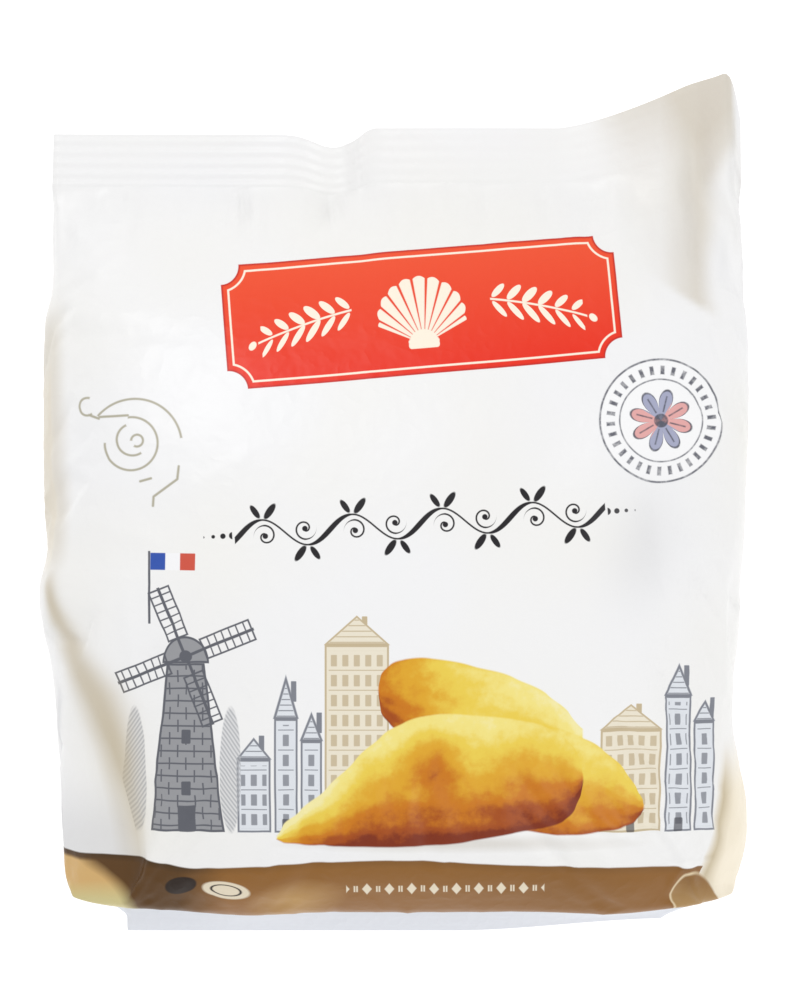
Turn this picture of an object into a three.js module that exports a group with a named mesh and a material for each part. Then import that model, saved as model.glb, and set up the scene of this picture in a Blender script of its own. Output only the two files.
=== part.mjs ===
// A sealed film bag of madeleine cakes, lying on its back with the printed panel up.
// The bag is one piece: a front panel, a folded gusset at each side, a back panel with a lapped seam down
// its length, a flat crimped seal at the top and a short turned-down seal at the bottom.
// Millimetres, +X to the right of the printed panel, +Y towards the top seal, +Z up from the floor.
// The film is lofted: each row is a closed ring round the bag, and the rows run from the bottom to the top.
import * as THREE from "three";

const { lerp, clamp, smoothstep } = THREE.MathUtils;

// ---- Driving dimensions ----
const WIDTH = 195; // across the filled bag
const LENGTH = 220.6; // bottom seal's edge to top seal's edge, as the bag lies
const DEPTH = 62; // floor to the highest point of the filling
const SEAL_THICKNESS = 1.2; // the welded layers of film
const TOP_SEAL = 15; // length of the flat top seal
const TOP_EDGE_HEIGHT = 14.5; // the top seal's edge above the floor
const BOTTOM_EDGE_HEIGHT = 12.7;
const BOTTOM_SEAL_SLANT = 3.4; // the bottom seal's right end sits higher
const LEFT_CORNER_RISE = 1.2; // the filled body's bottom corners are rounded off by this much
const RIGHT_CORNER_RISE = 3.8;
const SEAM = { centre: -16.5, width: 12, thickness: 0.9 }; // the lapped seam down the back
const DIP = { centre: -18, halfWidth: 7, depth: 3.6 }; // where the seam's layers pull the top edge down
const EAR = { start: 44, tip: 89.4, fall: 5.1, rise: 16.2, lift: 15 }; // the raised top right corner
const HALF = WIDTH / 2;

// ---- Mesh density ----
const FRONT_COLUMNS = 28;
const GUSSET_COLUMNS = 6;
const BACK_COLUMNS = FRONT_COLUMNS + 2 * GUSSET_COLUMNS; // so that the two layers match in the seals
const COLUMNS = FRONT_COLUMNS + BACK_COLUMNS + 2 * GUSSET_COLUMNS;
const BOTTOM_SEAL_ROWS = 2;
const BODY_ROWS = 44;
const TOP_SEAL_ROWS = 5;

// ---- Rows: r runs from 0 at the bottom seal's edge to 1 at the top seal's edge ----
// The filled body's outline down its middle. "Up" is a share of LENGTH, and the heights of the front, the
// back and the creases beside them are shares of DEPTH. The back is below zero where the floor presses it.
const profile = [
  { r: 0.04, frontUp: 0.034, front: 0.37, backUp: 0.032, back: 0.35, frontCrease: 0.36, backCrease: 0.35 },
  { r: 0.06, frontUp: 0.026, front: 0.5, backUp: 0.043, back: 0.19, frontCrease: 0.43, backCrease: 0.29 },
  { r: 0.09, frontUp: 0.037, front: 0.68, backUp: 0.072, back: 0.065, frontCrease: 0.53, backCrease: 0.22 },
  { r: 0.14, frontUp: 0.07, front: 0.83, backUp: 0.122, back: -0.035, frontCrease: 0.6, backCrease: 0.175 },
  { r: 0.22, frontUp: 0.138, front: 0.945, backUp: 0.2, back: -0.065, frontCrease: 0.66, backCrease: 0.16 },
  { r: 0.36, frontUp: 0.272, front: 1, backUp: 0.322, back: -0.075, frontCrease: 0.7, backCrease: 0.16 },
  { r: 0.5, frontUp: 0.43, front: 0.985, backUp: 0.455, back: -0.07, frontCrease: 0.69, backCrease: 0.16 },
  { r: 0.65, frontUp: 0.603, front: 0.885, backUp: 0.61, back: -0.06, frontCrease: 0.61, backCrease: 0.165 },
  { r: 0.8, frontUp: 0.77, front: 0.655, backUp: 0.763, back: -0.02, frontCrease: 0.47, backCrease: 0.18 },
  { r: 0.9, frontUp: 0.884, front: 0.395, backUp: 0.88, back: 0.11, frontCrease: 0.33, backCrease: 0.215 },
  { r: 0.94, frontUp: 0.932, front: 0.275, backUp: 0.932, back: 0.256, frontCrease: 0.27, backCrease: 0.26 },
];
const SEAL_ROOT = profile[0].r; // the bottom seal joins the filled body here
const SEAL_START = profile[profile.length - 1].r; // the flat top seal begins here
// Across the bag, as shares of HALF: where each front crease lies, and how far the gusset beside it reaches.
const leftCrease = [
  [0, -0.76], [SEAL_ROOT, -0.76], [0.09, -0.75], [0.14, -0.735], [0.22, -0.735], [0.3, -0.755], [0.36, -0.82],
  [0.43, -0.915], [0.5, -0.985], [0.58, -0.998], [0.8, -0.988], [SEAL_START, -0.976], [1, -0.974],
];
const leftReach = [
  [0, -0.765], [SEAL_ROOT, -0.78], [0.06, -0.87], [0.09, -0.91], [0.14, -0.935], [0.22, -0.945],
  [0.36, -0.966], [0.5, -1], [0.65, -0.999], [0.8, -0.99], [SEAL_START, -0.978], [1, -0.974],
];
const rightCrease = [
  [0, 0.74], [SEAL_ROOT, 0.83], [0.09, 0.85], [0.14, 0.867], [0.22, 0.905], [0.36, 0.958], [0.5, 0.972],
  [0.62, 0.975], [0.72, 0.915], [0.8, 0.865], [0.9, 0.805], [SEAL_START, 0.78], [1, 0.76],
];
const rightReach = [
  [0, 0.745], [SEAL_ROOT, 0.842], [0.06, 0.923], [0.09, 0.954], [0.14, 0.973], [0.22, 0.979],
  [0.36, 0.962], [0.5, 0.974], [0.65, 0.999], [0.8, 0.991], [0.9, 0.973], [SEAL_START, 0.969], [1, 0.967],
];
// How deep each gusset is folded in beside its front crease, in millimetres.
const leftTuck = [
  [0, 0], [0.05, 0], [0.13, 6.5], [0.26, 6.5], [0.4, 1], [0.5, 0], [0.7, 2], [0.84, 3.5], [0.92, 0], [1, 0],
];
const rightTuck = [
  [0, 0], [0.05, 0], [0.1, 4.5], [0.2, 4], [0.34, 0.5], [0.55, 0], [0.72, 3.5], [0.86, 6], [0.92, 2],
  [SEAL_START, 0], [1, 0],
];
const TUCK_PLACE = 0.36; // of the way down the gusset, from its front crease to its back one
const BACK_EDGE = 0.93; // where the back panel meets the gusset, as a share of the gusset's reach

const ease = (low, high, x) => smoothstep(x, low, high);
const hump = (x, centre, halfWidth) => Math.exp(-(((x - centre) / halfWidth) ** 2));

// A smooth curve through [r, value] pairs.
function through(pairs, r) {
  const last = pairs.length - 1;
  const slope = (i) => {
    const [before, after] = [pairs[Math.max(i - 1, 0)], pairs[Math.min(i + 1, last)]];
    return (after[1] - before[1]) / (after[0] - before[0]);
  };
  let i = 0;
  while (i < last - 1 && r > pairs[i + 1][0]) i++;
  const [r0, value0] = pairs[i];
  const [r1, value1] = pairs[i + 1];
  const span = r1 - r0;
  const t = clamp((r - r0) / span, 0, 1);
  const rising = t * t * (3 - 2 * t);
  return lerp(value0, value1, rising)
    + t * (1 - t) * (1 - t) * span * slope(i) - t * t * (1 - t) * span * slope(i + 1);
}
const along = (key, r) => through(profile.map((station) => [station.r, station[key]]), r);

// A row down its middle: how far up and how high the front, the back and the creases lie.
function middle(r) {
  const flat = (up, height) => ({
    frontUp: up,
    backUp: up,
    front: height + SEAL_THICKNESS / 2,
    back: height - SEAL_THICKNESS / 2,
    frontCrease: height + SEAL_THICKNESS / 2,
    backCrease: height - SEAL_THICKNESS / 2,
  });
  const [root, start] = [profile[0], profile[profile.length - 1]];
  if (r <= SEAL_ROOT) {
    const t = r / SEAL_ROOT;
    return flat(lerp(0, LENGTH * root.frontUp, t), lerp(BOTTOM_EDGE_HEIGHT, DEPTH * root.frontCrease, t));
  }
  if (r >= SEAL_START) {
    const t = (r - SEAL_START) / (1 - SEAL_START);
    return flat(lerp(LENGTH - TOP_SEAL, LENGTH, t), lerp(DEPTH * start.frontCrease, TOP_EDGE_HEIGHT, t));
  }
  return {
    frontUp: LENGTH * along("frontUp", r),
    backUp: LENGTH * along("backUp", r),
    front: DEPTH * along("front", r),
    back: DEPTH * along("back", r),
    frontCrease: DEPTH * along("frontCrease", r),
    backCrease: DEPTH * along("backCrease", r),
  };
}

// Spreads 0 to 1 over -1 to 1, closer together at the ends.
const closerAtEdges = (t) => lerp(2 * t - 1, Math.sin((t - 0.5) * Math.PI), 0.55);

// The points of a panel from one crease to the other, crowned like a pillow. low and high are its two
// creases and crown is its middle. The columns lie closer at the edges, unless places says where they are.
function panel(low, high, crown, columns, roundness, places) {
  const points = [];
  for (let i = 0; i < columns; i++) {
    const across = places ? places[i] : closerAtEdges(i / columns);
    const share = Math.max(0, 1 - Math.abs(across) ** 2.4) ** roundness;
    const t = (across + 1) / 2;
    const x = lerp(low.x, high.x, t);
    points.push([x, lerp(lerp(low.up, high.up, t), crown.up, share), lerp(low.height, crown.height, share)]);
  }
  return points;
}

// The points of a gusset from one crease to the other. It bulges out to its reach, and is folded in by tuck
// at the place given. open is 0 where the gusset lies flat in a seal and 1 where it is well opened.
function gusset(from, to, reach, tuck, place, open) {
  const side = Math.sign(reach);
  const out = reach + 0.26 * side * tuck; // so that the fold leaves the outline where it is
  const points = [];
  for (let i = 0; i < GUSSET_COLUMNS; i++) {
    const t = i / GUSSET_COLUMNS;
    const flat = lerp(from.x, to.x, t);
    const round = flat + (out - (from.x + to.x) / 2) * 4 * t * (1 - t);
    const bulged = Math.abs(round) > Math.abs(out) ? out : round;
    const fold = t > 0 ? tuck * hump(t, place, 0.24) : 0;
    const x = lerp(flat, bulged, open) - 0.6 * side * fold;
    points.push([x, lerp(from.up, to.up, t), lerp(from.height, to.height, t) - 0.75 * fold]);
  }
  return points;
}

// One ring of film as [x, y, z] points: front panel left to right, right gusset, back panel, left gusset.
function ring(r) {
  const m = middle(r);
  const opening = (m.frontCrease - m.backCrease) / DEPTH;
  const open = ease(0.02, 0.2, opening);
  const tucked = 1 - (1 - BACK_EDGE) * ease(0, 0.35, opening);
  const turn = (1 - ease(SEAL_ROOT, 0.2, r)) * ease(0, SEAL_ROOT, r); // 1 where the bottom turns under
  const [left, right] = [HALF * through(leftCrease, r), HALF * through(rightCrease, r)];
  const leftOut = Math.min(HALF * through(leftReach, r), left);
  const rightOut = Math.max(HALF * through(rightReach, r), right);

  const crease = (x, up, rise, height) => ({ x, up: up + rise * turn, height });
  const frontLeft = crease(left, m.frontUp, LEFT_CORNER_RISE, m.frontCrease);
  const frontRight = crease(right, m.frontUp, RIGHT_CORNER_RISE, m.frontCrease);
  const backLeft = crease(leftOut * tucked, m.backUp, LEFT_CORNER_RISE / 2, m.backCrease);
  const backRight = crease(rightOut * tucked, m.backUp, RIGHT_CORNER_RISE / 2, m.backCrease);

  const front = panel(frontLeft, frontRight, { up: m.frontUp, height: m.front }, FRONT_COLUMNS, 0.62);
  const rightSide = gusset(frontRight, backRight, rightOut, through(rightTuck, r), TUCK_PLACE, open);
  const leftSide = gusset(backLeft, frontLeft, leftOut, through(leftTuck, r), 1 - TUCK_PLACE, open);

  // In the seals each column of the back lies under one of the front. places runs from -1 to 1 leftwards.
  const places = [];
  for (let i = 0; i < BACK_COLUMNS; i++) {
    const k = FRONT_COLUMNS + GUSSET_COLUMNS - i; // counted along the front from its left crease
    let x = lerp(left, leftOut, -k / GUSSET_COLUMNS);
    if (k >= FRONT_COLUMNS) x = lerp(right, rightOut, (k - FRONT_COLUMNS) / GUSSET_COLUMNS);
    else if (k >= 0) x = front[k][0];
    const matched = 2 * (x - backRight.x) / (backLeft.x - backRight.x) - 1;
    places.push(lerp(matched, closerAtEdges(i / BACK_COLUMNS), ease(0, 0.12, opening)));
  }
  const back = panel(backRight, backLeft, { up: m.backUp, height: m.back }, BACK_COLUMNS, 0.5, places);
  return [...front, ...rightSide, ...back, ...leftSide];
}

// How much of the raised corner a place across the bag has.
function earShare(x) {
  if (x < EAR.start) return 0;
  if (x < EAR.tip) return ((x - EAR.start) / (EAR.tip - EAR.start)) ** 1.4;
  return Math.max(0, 1 - ((x - EAR.tip) / EAR.fall) ** 2.6);
}

// Bends a point by the folds that the rings leave out. The seal's two layers bend together, so the back
// follows the front there.
function folded([x, y, z], r, onBack) {
  const nearTop = ease(0.8, 1, r);
  const follows = onBack ? ease(SEAL_START - 0.03, SEAL_START, r) : 1;
  const ear = earShare(x);
  const dip = DIP.depth * hump(x, DIP.centre, DIP.halfWidth) * (1 - ease(-12, -7, x));
  const step = 0.8 * ease(-12, -6, x);
  const slant = BOTTOM_SEAL_SLANT * ease(15, 76, x) * (1 - ease(0, SEAL_ROOT, r));
  const up = y + slant + ear * EAR.rise * nearTop ** 1.5 + (step - dip) * nearTop ** 2;

  let height = z + ear * EAR.lift * nearTop ** 2;
  // the top seal waves gently, with a sharp ridge where the back seam crosses it
  height += nearTop * (2.2 * Math.sin(x / 21 + 0.6) + 1.6 * hump(x, -10.5, 3.2));
  // a soft valley across the upper right of the panel
  height -= 2.6 * follows * hump(x - (y - 120) * 0.35, 38, 13) * hump(y, 134, 24);
  // the front right crease sinks below the ear
  height -= 3 * follows * hump(x, 82, 4) * ease(165, 190, y) * (1 - 0.5 * ease(203, 220, y));
  return [x, up, height];
}

// ---- The closed solid ----
function rowPlaces() {
  const places = [];
  for (let i = 0; i < BOTTOM_SEAL_ROWS; i++) places.push(SEAL_ROOT * i / BOTTOM_SEAL_ROWS);
  for (let i = 0; i < BODY_ROWS; i++) {
    const t = i / BODY_ROWS;
    const closerAtBottom = 0.62 * t + 0.38 * t * t;
    places.push(lerp(SEAL_ROOT, SEAL_START, closerAtBottom));
  }
  for (let i = 0; i <= TOP_SEAL_ROWS; i++) places.push(lerp(SEAL_START, 1, i / TOP_SEAL_ROWS));
  return places;
}

function bagGeometry() {
  const places = rowPlaces();
  const firstBack = FRONT_COLUMNS + GUSSET_COLUMNS;
  const positions = [];
  for (const r of places) {
    ring(r).forEach((point, k) => {
      const onBack = k > firstBack && k < firstBack + BACK_COLUMNS;
      const [x, y, z] = folded(point, r, onBack);
      const onSeam = onBack && Math.abs(x - SEAM.centre) < SEAM.width / 2 && r > SEAL_ROOT;
      positions.push(x, y, Math.max(0, z - (onSeam ? SEAM.thickness : 0))); // the floor presses the back flat
    });
  }

  const index = [];
  for (let i = 0; i < places.length - 1; i++) {
    for (let k = 0; k < COLUMNS; k++) {
      const [a, b] = [i * COLUMNS + k, i * COLUMNS + (k + 1) % COLUMNS];
      index.push(a, b, b + COLUMNS, a, b + COLUMNS, a + COLUMNS);
    }
  }
  // Each end is closed by a strip between the ring's two layers, from its left edge to its right one.
  const close = (row, turned) => {
    const face = (a, b, c) => index.push(...(turned ? [a, c, b] : [a, b, c]));
    const at = (k) => row * COLUMNS + (k + COLUMNS) % COLUMNS;
    for (let j = 0; j < COLUMNS / 2; j++) {
      const [upper, nextUpper] = [at(j - GUSSET_COLUMNS), at(j + 1 - GUSSET_COLUMNS)];
      const [lower, nextLower] = [at(-j - GUSSET_COLUMNS), at(-j - 1 - GUSSET_COLUMNS)];
      if (upper !== lower) face(upper, lower, nextLower);
      if (nextUpper !== nextLower) face(upper, nextLower, nextUpper);
    }
  };
  close(0, false);
  close(places.length - 1, true);

  const geometry = new THREE.BufferGeometry();
  geometry.setAttribute("position", new THREE.Float32BufferAttribute(positions, 3));
  geometry.setIndex(index);
  geometry.computeBoundingBox();
  const { min, max } = geometry.boundingBox;
  geometry.translate(-(min.x + max.x) / 2, -(min.y + max.y) / 2, -min.z);
  geometry.computeVertexNormals();
  return geometry;
}

const printedFilm = new THREE.MeshStandardMaterial({ color: 0xf4f2ee, roughness: 0.38, metalness: 0 });
const bag = new THREE.Mesh(bagGeometry(), printedFilm);
bag.name = "bag";

const madeleineBag = new THREE.Group();
madeleineBag.add(bag);
export default madeleineBag;
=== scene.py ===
import math

import bpy
import numpy as np
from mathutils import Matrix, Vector


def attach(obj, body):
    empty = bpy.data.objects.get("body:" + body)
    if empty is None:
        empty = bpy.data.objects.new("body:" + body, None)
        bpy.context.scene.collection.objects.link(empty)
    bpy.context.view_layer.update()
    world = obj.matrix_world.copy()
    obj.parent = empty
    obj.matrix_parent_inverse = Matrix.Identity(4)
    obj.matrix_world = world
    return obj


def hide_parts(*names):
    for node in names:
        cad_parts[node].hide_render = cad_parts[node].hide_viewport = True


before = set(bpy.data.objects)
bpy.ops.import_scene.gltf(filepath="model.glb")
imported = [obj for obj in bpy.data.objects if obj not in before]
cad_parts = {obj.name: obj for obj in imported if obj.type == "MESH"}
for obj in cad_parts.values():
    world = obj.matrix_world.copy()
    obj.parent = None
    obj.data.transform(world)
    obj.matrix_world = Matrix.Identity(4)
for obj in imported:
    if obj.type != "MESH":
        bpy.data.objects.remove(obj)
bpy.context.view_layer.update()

# The bag is drawn in millimetres: x across, u up from the bottom seal's edge, z up from the floor.
mm = 0.001


def report(stage):
    print(f"madeleine bag: {stage}")


studio = {
    "cameraPlace": (0.0011, -0.0002, 2.5),
    "lens": 323.0,  # long, so the bag is seen almost without perspective
    "worldStrength": 0.688,
    "keyPlace": (-0.5, 1.25, 1.52),
    "keySize": 0.7,
    "keyPower": 11.5,
    "fillPlace": (0.9, -1.3, 1.3),
    "fillSize": 1.4,
    "fillPower": 9.4,
}


def addObject(name, data):
    thing = bpy.data.objects.new(name, data)
    bpy.context.scene.collection.objects.link(thing)
    return thing


def makeCamera():
    data = bpy.data.cameras.new("camera")
    data.lens = studio["lens"]
    data.sensor_width = 36.0
    data.clip_end = 20.0
    camera = addObject("camera", data)
    camera.location = studio["cameraPlace"]
    bpy.context.scene.camera = camera


def softLight(name, place, size, power):
    data = bpy.data.lights.new(name, "AREA")
    data.shape = "DISK"
    data.size = size
    data.energy = power
    light = addObject(name, data)
    light.location = place
    light.rotation_euler = (-Vector(place)).to_track_quat("-Z", "Y").to_euler()


def makeLights():
    world = bpy.data.worlds.new("studioWorld")
    world.use_nodes = True
    background = world.node_tree.nodes["Background"]
    background.inputs["Color"].default_value = (1, 1, 1, 1)
    background.inputs["Strength"].default_value = studio["worldStrength"]
    bpy.context.scene.world = world
    softLight("keyLight", studio["keyPlace"], studio["keySize"], studio["keyPower"])
    softLight("fillLight", studio["fillPlace"], studio["fillSize"], studio["fillPower"])
    bpy.context.scene.view_settings.view_transform = "Standard"


makeCamera()
makeLights()
report("camera and lights placed")

bagShape = {
    "halfWidth": 97.5,
    "length": 220.6,
    "depth": 62.0,
    "filmThickness": 0.6,  # of the welded layers in the seals
    "topSeal": 15.0,
    "topEdgeHeight": 14.5,
    "bottomEdgeHeight": 12.7,
    "bottomSealSlant": 3.4,
    "leftCornerRise": 1.2,
    "rightCornerRise": 2.8,
    "yShift": -118.48,  # from u to the frame's Y
    "crown": 2.4, "frontRound": 0.62, "backRound": 0.5,  # powers that round the panels off
    "tuckPlace": 0.36,
    "backEdge": 0.93,
    # r along the bag, then its middle: frontUp, front, backUp, back, frontCrease, backCrease
    "profile": [
        (0.04, 0.034, 0.37, 0.032, 0.35, 0.36, 0.35),
        (0.06, 0.026, 0.5, 0.043, 0.19, 0.43, 0.29),
        (0.09, 0.037, 0.68, 0.072, 0.065, 0.53, 0.22),
        (0.14, 0.07, 0.83, 0.122, -0.035, 0.6, 0.175),
        (0.22, 0.138, 0.945, 0.2, -0.065, 0.66, 0.16),
        (0.36, 0.272, 1, 0.322, -0.075, 0.7, 0.16),
        (0.5, 0.43, 0.985, 0.455, -0.07, 0.69, 0.16),
        (0.65, 0.603, 0.885, 0.61, -0.06, 0.61, 0.165),
        (0.8, 0.77, 0.655, 0.763, -0.02, 0.47, 0.18),
        (0.9, 0.884, 0.395, 0.88, 0.11, 0.33, 0.215),
        (0.94, 0.932, 0.275, 0.932, 0.256, 0.27, 0.26),
    ],
    # as shares of halfWidth: where the front creases lie, and how far the gussets beside them reach
    "leftCrease": [
        (0, -0.74), (0.04, -0.745), (0.09, -0.75), (0.14, -0.735), (0.22, -0.735), (0.3, -0.755),
        (0.36, -0.82), (0.43, -0.915), (0.5, -0.985), (0.58, -0.998), (0.8, -0.985), (0.94, -0.952),
        (1, -0.95),
    ],
    "leftReach": [
        (0, -0.765), (0.04, -0.78), (0.06, -0.87), (0.09, -0.91), (0.14, -0.935), (0.22, -0.945),
        (0.36, -0.966), (0.5, -1), (0.65, -0.999), (0.8, -0.99), (0.94, -0.978), (1, -0.974),
    ],
    "rightCrease": [
        (0, 0.72), (0.04, 0.81), (0.09, 0.848), (0.14, 0.867), (0.22, 0.905), (0.36, 0.958), (0.5, 0.972),
        (0.62, 0.975), (0.72, 0.915), (0.8, 0.865), (0.9, 0.805), (0.94, 0.78), (1, 0.76),
    ],
    "rightReach": [
        (0, 0.745), (0.04, 0.842), (0.06, 0.923), (0.09, 0.954), (0.14, 0.973), (0.22, 0.979),
        (0.36, 0.962), (0.5, 0.974), (0.65, 0.999), (0.8, 0.991), (0.9, 0.973), (0.94, 0.969), (1, 0.967),
    ],
    # how deep the gussets are folded in, in millimetres
    "leftTuck": [
        (0, 0), (0.05, 0), (0.13, 6.5), (0.26, 6.5), (0.4, 1), (0.5, 0), (0.7, 2), (0.84, 3.5), (0.92, 0),
        (1, 0),
    ],
    "rightTuck": [
        (0, 0), (0.05, 0), (0.1, 4.5), (0.2, 4), (0.34, 0.5), (0.55, 0), (0.72, 3.5), (0.86, 6), (0.92, 2),
        (0.94, 0), (1, 0),
    ],
    # how far out the film reaches in the end at each height u, once it has settled
    "outlineSpan": (7, 206), "outlineGive": 5,
    "leftOutline": [
        (7, -87), (9, -89), (14, -91.6), (20, -92.1), (31, -92.6), (42, -92.9), (53, -93.9), (64, -94.5),
        (75, -95.7), (86, -98), (92, -98.6), (97, -98.5), (103, -96.5), (114, -97.1), (130, -97.6),
        (168, -97.4), (176, -95.4), (206, -95.2),
    ],
    "rightOutline": [
        (7, 89), (9, 90.7), (14, 93), (20, 94.9), (25, 96.1), (31, 96.2), (36, 96), (42, 94.9), (53, 92.6),
        (58, 91.8), (64, 91.9), (75, 93), (86, 94), (97, 94.1), (108, 95.2), (128, 96), (140, 96.8),
        (164, 96.6), (176, 95.4), (206, 94.2),
    ],
}
fineGrid = {"front": 140, "gusset": 20, "bottomRows": 10, "bodyRows": 186, "topRows": 42}
sealRoot = 0.04  # the bottom seal joins the filled body at this r
sealStart = 0.94  # the flat top seal begins at this r
reach = bagShape["halfWidth"]


def ease(low, high, x):
    t = np.clip((x - low) / (high - low), 0, 1)
    return t * t * (3 - 2 * t)


def between(start, end, x):  # rises from 0 to 1 over the start, and falls again over the end
    return ease(*start, x) * (1 - ease(*end, x))


def hump(x, centre, halfWidth):
    return np.exp(-((x - centre) / halfWidth) ** 2)


def lerp(a, b, t):
    return a + (b - a) * t


def through(pairs, r):  # reads a smooth curve through (r, value) pairs
    x, v = np.array(pairs, float).T
    slope = np.empty(len(x))
    slope[1:-1] = (v[2:] - v[:-2]) / (x[2:] - x[:-2])
    slope[0] = (v[1] - v[0]) / (x[1] - x[0])
    slope[-1] = (v[-1] - v[-2]) / (x[-1] - x[-2])
    i = np.clip(np.searchsorted(x, r, side="left") - 1, 0, len(x) - 2)
    span = x[i + 1] - x[i]
    t = np.clip((r - x[i]) / span, 0, 1)
    bend = t * (1 - t) ** 2 * span * slope[i] - t * t * (1 - t) * span * slope[i + 1]
    return lerp(v[i], v[i + 1], t * t * (3 - 2 * t)) + bend


def closerAtEdges(t):
    return lerp(2 * t - 1, np.sin((t - 0.5) * np.pi), 0.55)


def rowPlaces(grid):
    body = np.arange(grid["bodyRows"]) / grid["bodyRows"]
    return np.concatenate([
        sealRoot * np.arange(grid["bottomRows"]) / grid["bottomRows"],
        lerp(sealRoot, sealStart, 0.62 * body + 0.38 * body * body),
        lerp(sealStart, 1, np.arange(grid["topRows"] + 1) / grid["topRows"]),
    ])[:, None]


def middleOf(r):  # how far up and how high each row's front, back and creases lie
    length, depth, half = bagShape["length"], bagShape["depth"], bagShape["filmThickness"] / 2
    table = np.array(bagShape["profile"])
    names = ["frontUp", "front", "backUp", "back", "frontCrease", "backCrease"]
    mid = {}
    for column, name in enumerate(names, 1):
        mid[name] = (length if name.endswith("Up") else depth) * through(table[:, [0, column]], r)
    low, high = table[0], table[-1]
    t = np.clip(r / sealRoot, 0, 1)
    bottom = (r <= sealRoot, lerp(0, length * low[1], t),
              lerp(bagShape["bottomEdgeHeight"], depth * low[5], t))
    t = np.clip((r - sealStart) / (1 - sealStart), 0, 1)
    top = (r >= sealStart, lerp(length - bagShape["topSeal"], length, t),
           lerp(depth * high[5], bagShape["topEdgeHeight"], t))
    for chosen, up, height in (bottom, top):
        for name in names:
            flat = up if name.endswith("Up") else height + (half if name.startswith("front") else -half)
            mid[name] = np.where(chosen, flat, mid[name])
    return mid


def panelPoints(low, high, crownUp, crownHeight, across, roundness):
    share = np.maximum(0, 1 - np.abs(across) ** bagShape["crown"]) ** roundness
    t = (across + 1) / 2
    up = lerp(lerp(low[1], high[1], t), crownUp, share)
    return np.stack([lerp(low[0], high[0], t), up, lerp(lerp(low[2], high[2], t), crownHeight, share)], -1)


tuckShape = {"halfWidth": 0.24, "in": 0.6, "down": 0.75, "out": 0.26}


def gussetPoints(start, end, out, tuck, place, opened, columns):
    side = np.sign(out)
    out = out + tuckShape["out"] * side * tuck  # so that the fold leaves the outline where it is
    t = (np.arange(columns) / columns)[None, :]
    flat = lerp(start[0], end[0], t)
    rounded = flat + (out - (start[0] + end[0]) / 2) * 4 * t * (1 - t)
    bulged = np.where(np.abs(rounded) > np.abs(out), out * np.ones_like(rounded), rounded)
    fold = np.where(t > 0, tuck * hump(t, place, tuckShape["halfWidth"]), 0)
    # where it is shut the fold stays thin at its edge
    drop = lerp(t ** 4 if start[2][0] > end[2][0] else 1 - (1 - t) ** 4, t, opened)
    x = lerp(flat, bulged, opened) - tuckShape["in"] * side * fold
    height = lerp(start[2], end[2], drop) - tuckShape["down"] * fold
    return np.stack([x, lerp(start[1], end[1], t), height], -1)


topCorner = {
    "start": 44, "run": 45.4, "tip": 89.4, "past": 5.1,  # where it begins to rise, is highest and ends
    "rise": 16.2, "curl": 15, "edgeCurl": 0.62,
}
edgeFolds = {
    # height or depth, middle in x and half width
    "bottomSags": [(1.3, -42, 14), (1.4, 60, 15)],
    "topDip": (3.6, -18, 7), "topRidge": (1.6, -10.5, 3.2),
    "topWave": (2.2, 21, 0.6),  # height, length and start
    "topStep": (1.7, (-12, -6), 0.9),
    # depth, then across and up the bag where it lies; the dent leans
    "frontDent": (2.6, (38, 13), (134, 24), 0.35),
    "gussetLine": (3, (82, 4), (165, 190), (203, 220)),
}


def cornerShare(x):  # how much of the raised top right corner a place across the bag has
    tip = topCorner["tip"]
    rising = np.clip((x - topCorner["start"]) / topCorner["run"], 0, 1) ** 1.4 * (1 - 0.1 * ease(78, tip, x))
    past = np.maximum(x - tip, 0) / topCorner["past"]
    return np.where(x < tip, rising, 0.9 * np.maximum(0, 1 - past ** 2.6))


def foldedPoints(points, r, onBack):  # raises the top corner, and bends both ends and the front a little
    x, y, z = points[..., 0], points[..., 1], points[..., 2]
    nearTop = ease(0.8, 1, r)
    follows = np.where(onBack, ease(sealStart - 0.05, sealStart - 0.012, r), 1)
    corner = cornerShare(x)
    depth, *place = edgeFolds["topDip"]
    dip = depth * hump(x, *place) * (1 - ease(-12, -7, x))
    slant = bagShape["bottomSealSlant"] * ease(15, 76, x) * (1 - ease(0, sealRoot, r))
    sag = sum(depth * hump(x, *place) for depth, *place in edgeFolds["bottomSags"])
    sag = sag * (1 - ease(0.06, 0.2, r)) * ease(0, sealRoot, r)
    rise, place, drop = edgeFolds["topStep"]
    step = rise * ease(*place, x) - drop - dip
    up = y + slant - sag + corner * topCorner["rise"] * nearTop ** 1.5 + step * nearTop ** 2
    # the corner's outer edge stays up, so it isn't steep
    curl = np.maximum(corner, topCorner["edgeCurl"] * ease(84, topCorner["tip"], x))
    height = z + curl * topCorner["curl"] * nearTop ** 2
    swing, wave, start = edgeFolds["topWave"]
    ridge, *place = edgeFolds["topRidge"]
    height = height + nearTop * (swing * np.sin(x / wave + start) + ridge * hump(x, *place))
    # a shallow dent in the upper front, and a sunk line along the upper right gusset
    depth, across, tall, lean = edgeFolds["frontDent"]
    height = height - depth * follows * hump(x - (y - 120) * lean, *across) * hump(y, *tall)
    depth, across, start, end = edgeFolds["gussetLine"]
    sink = ease(*start, y) * (1 - 0.5 * ease(*end, y))
    height = height - depth * follows * hump(x, *across) * sink
    return np.stack([x, up, height], -1)


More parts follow.
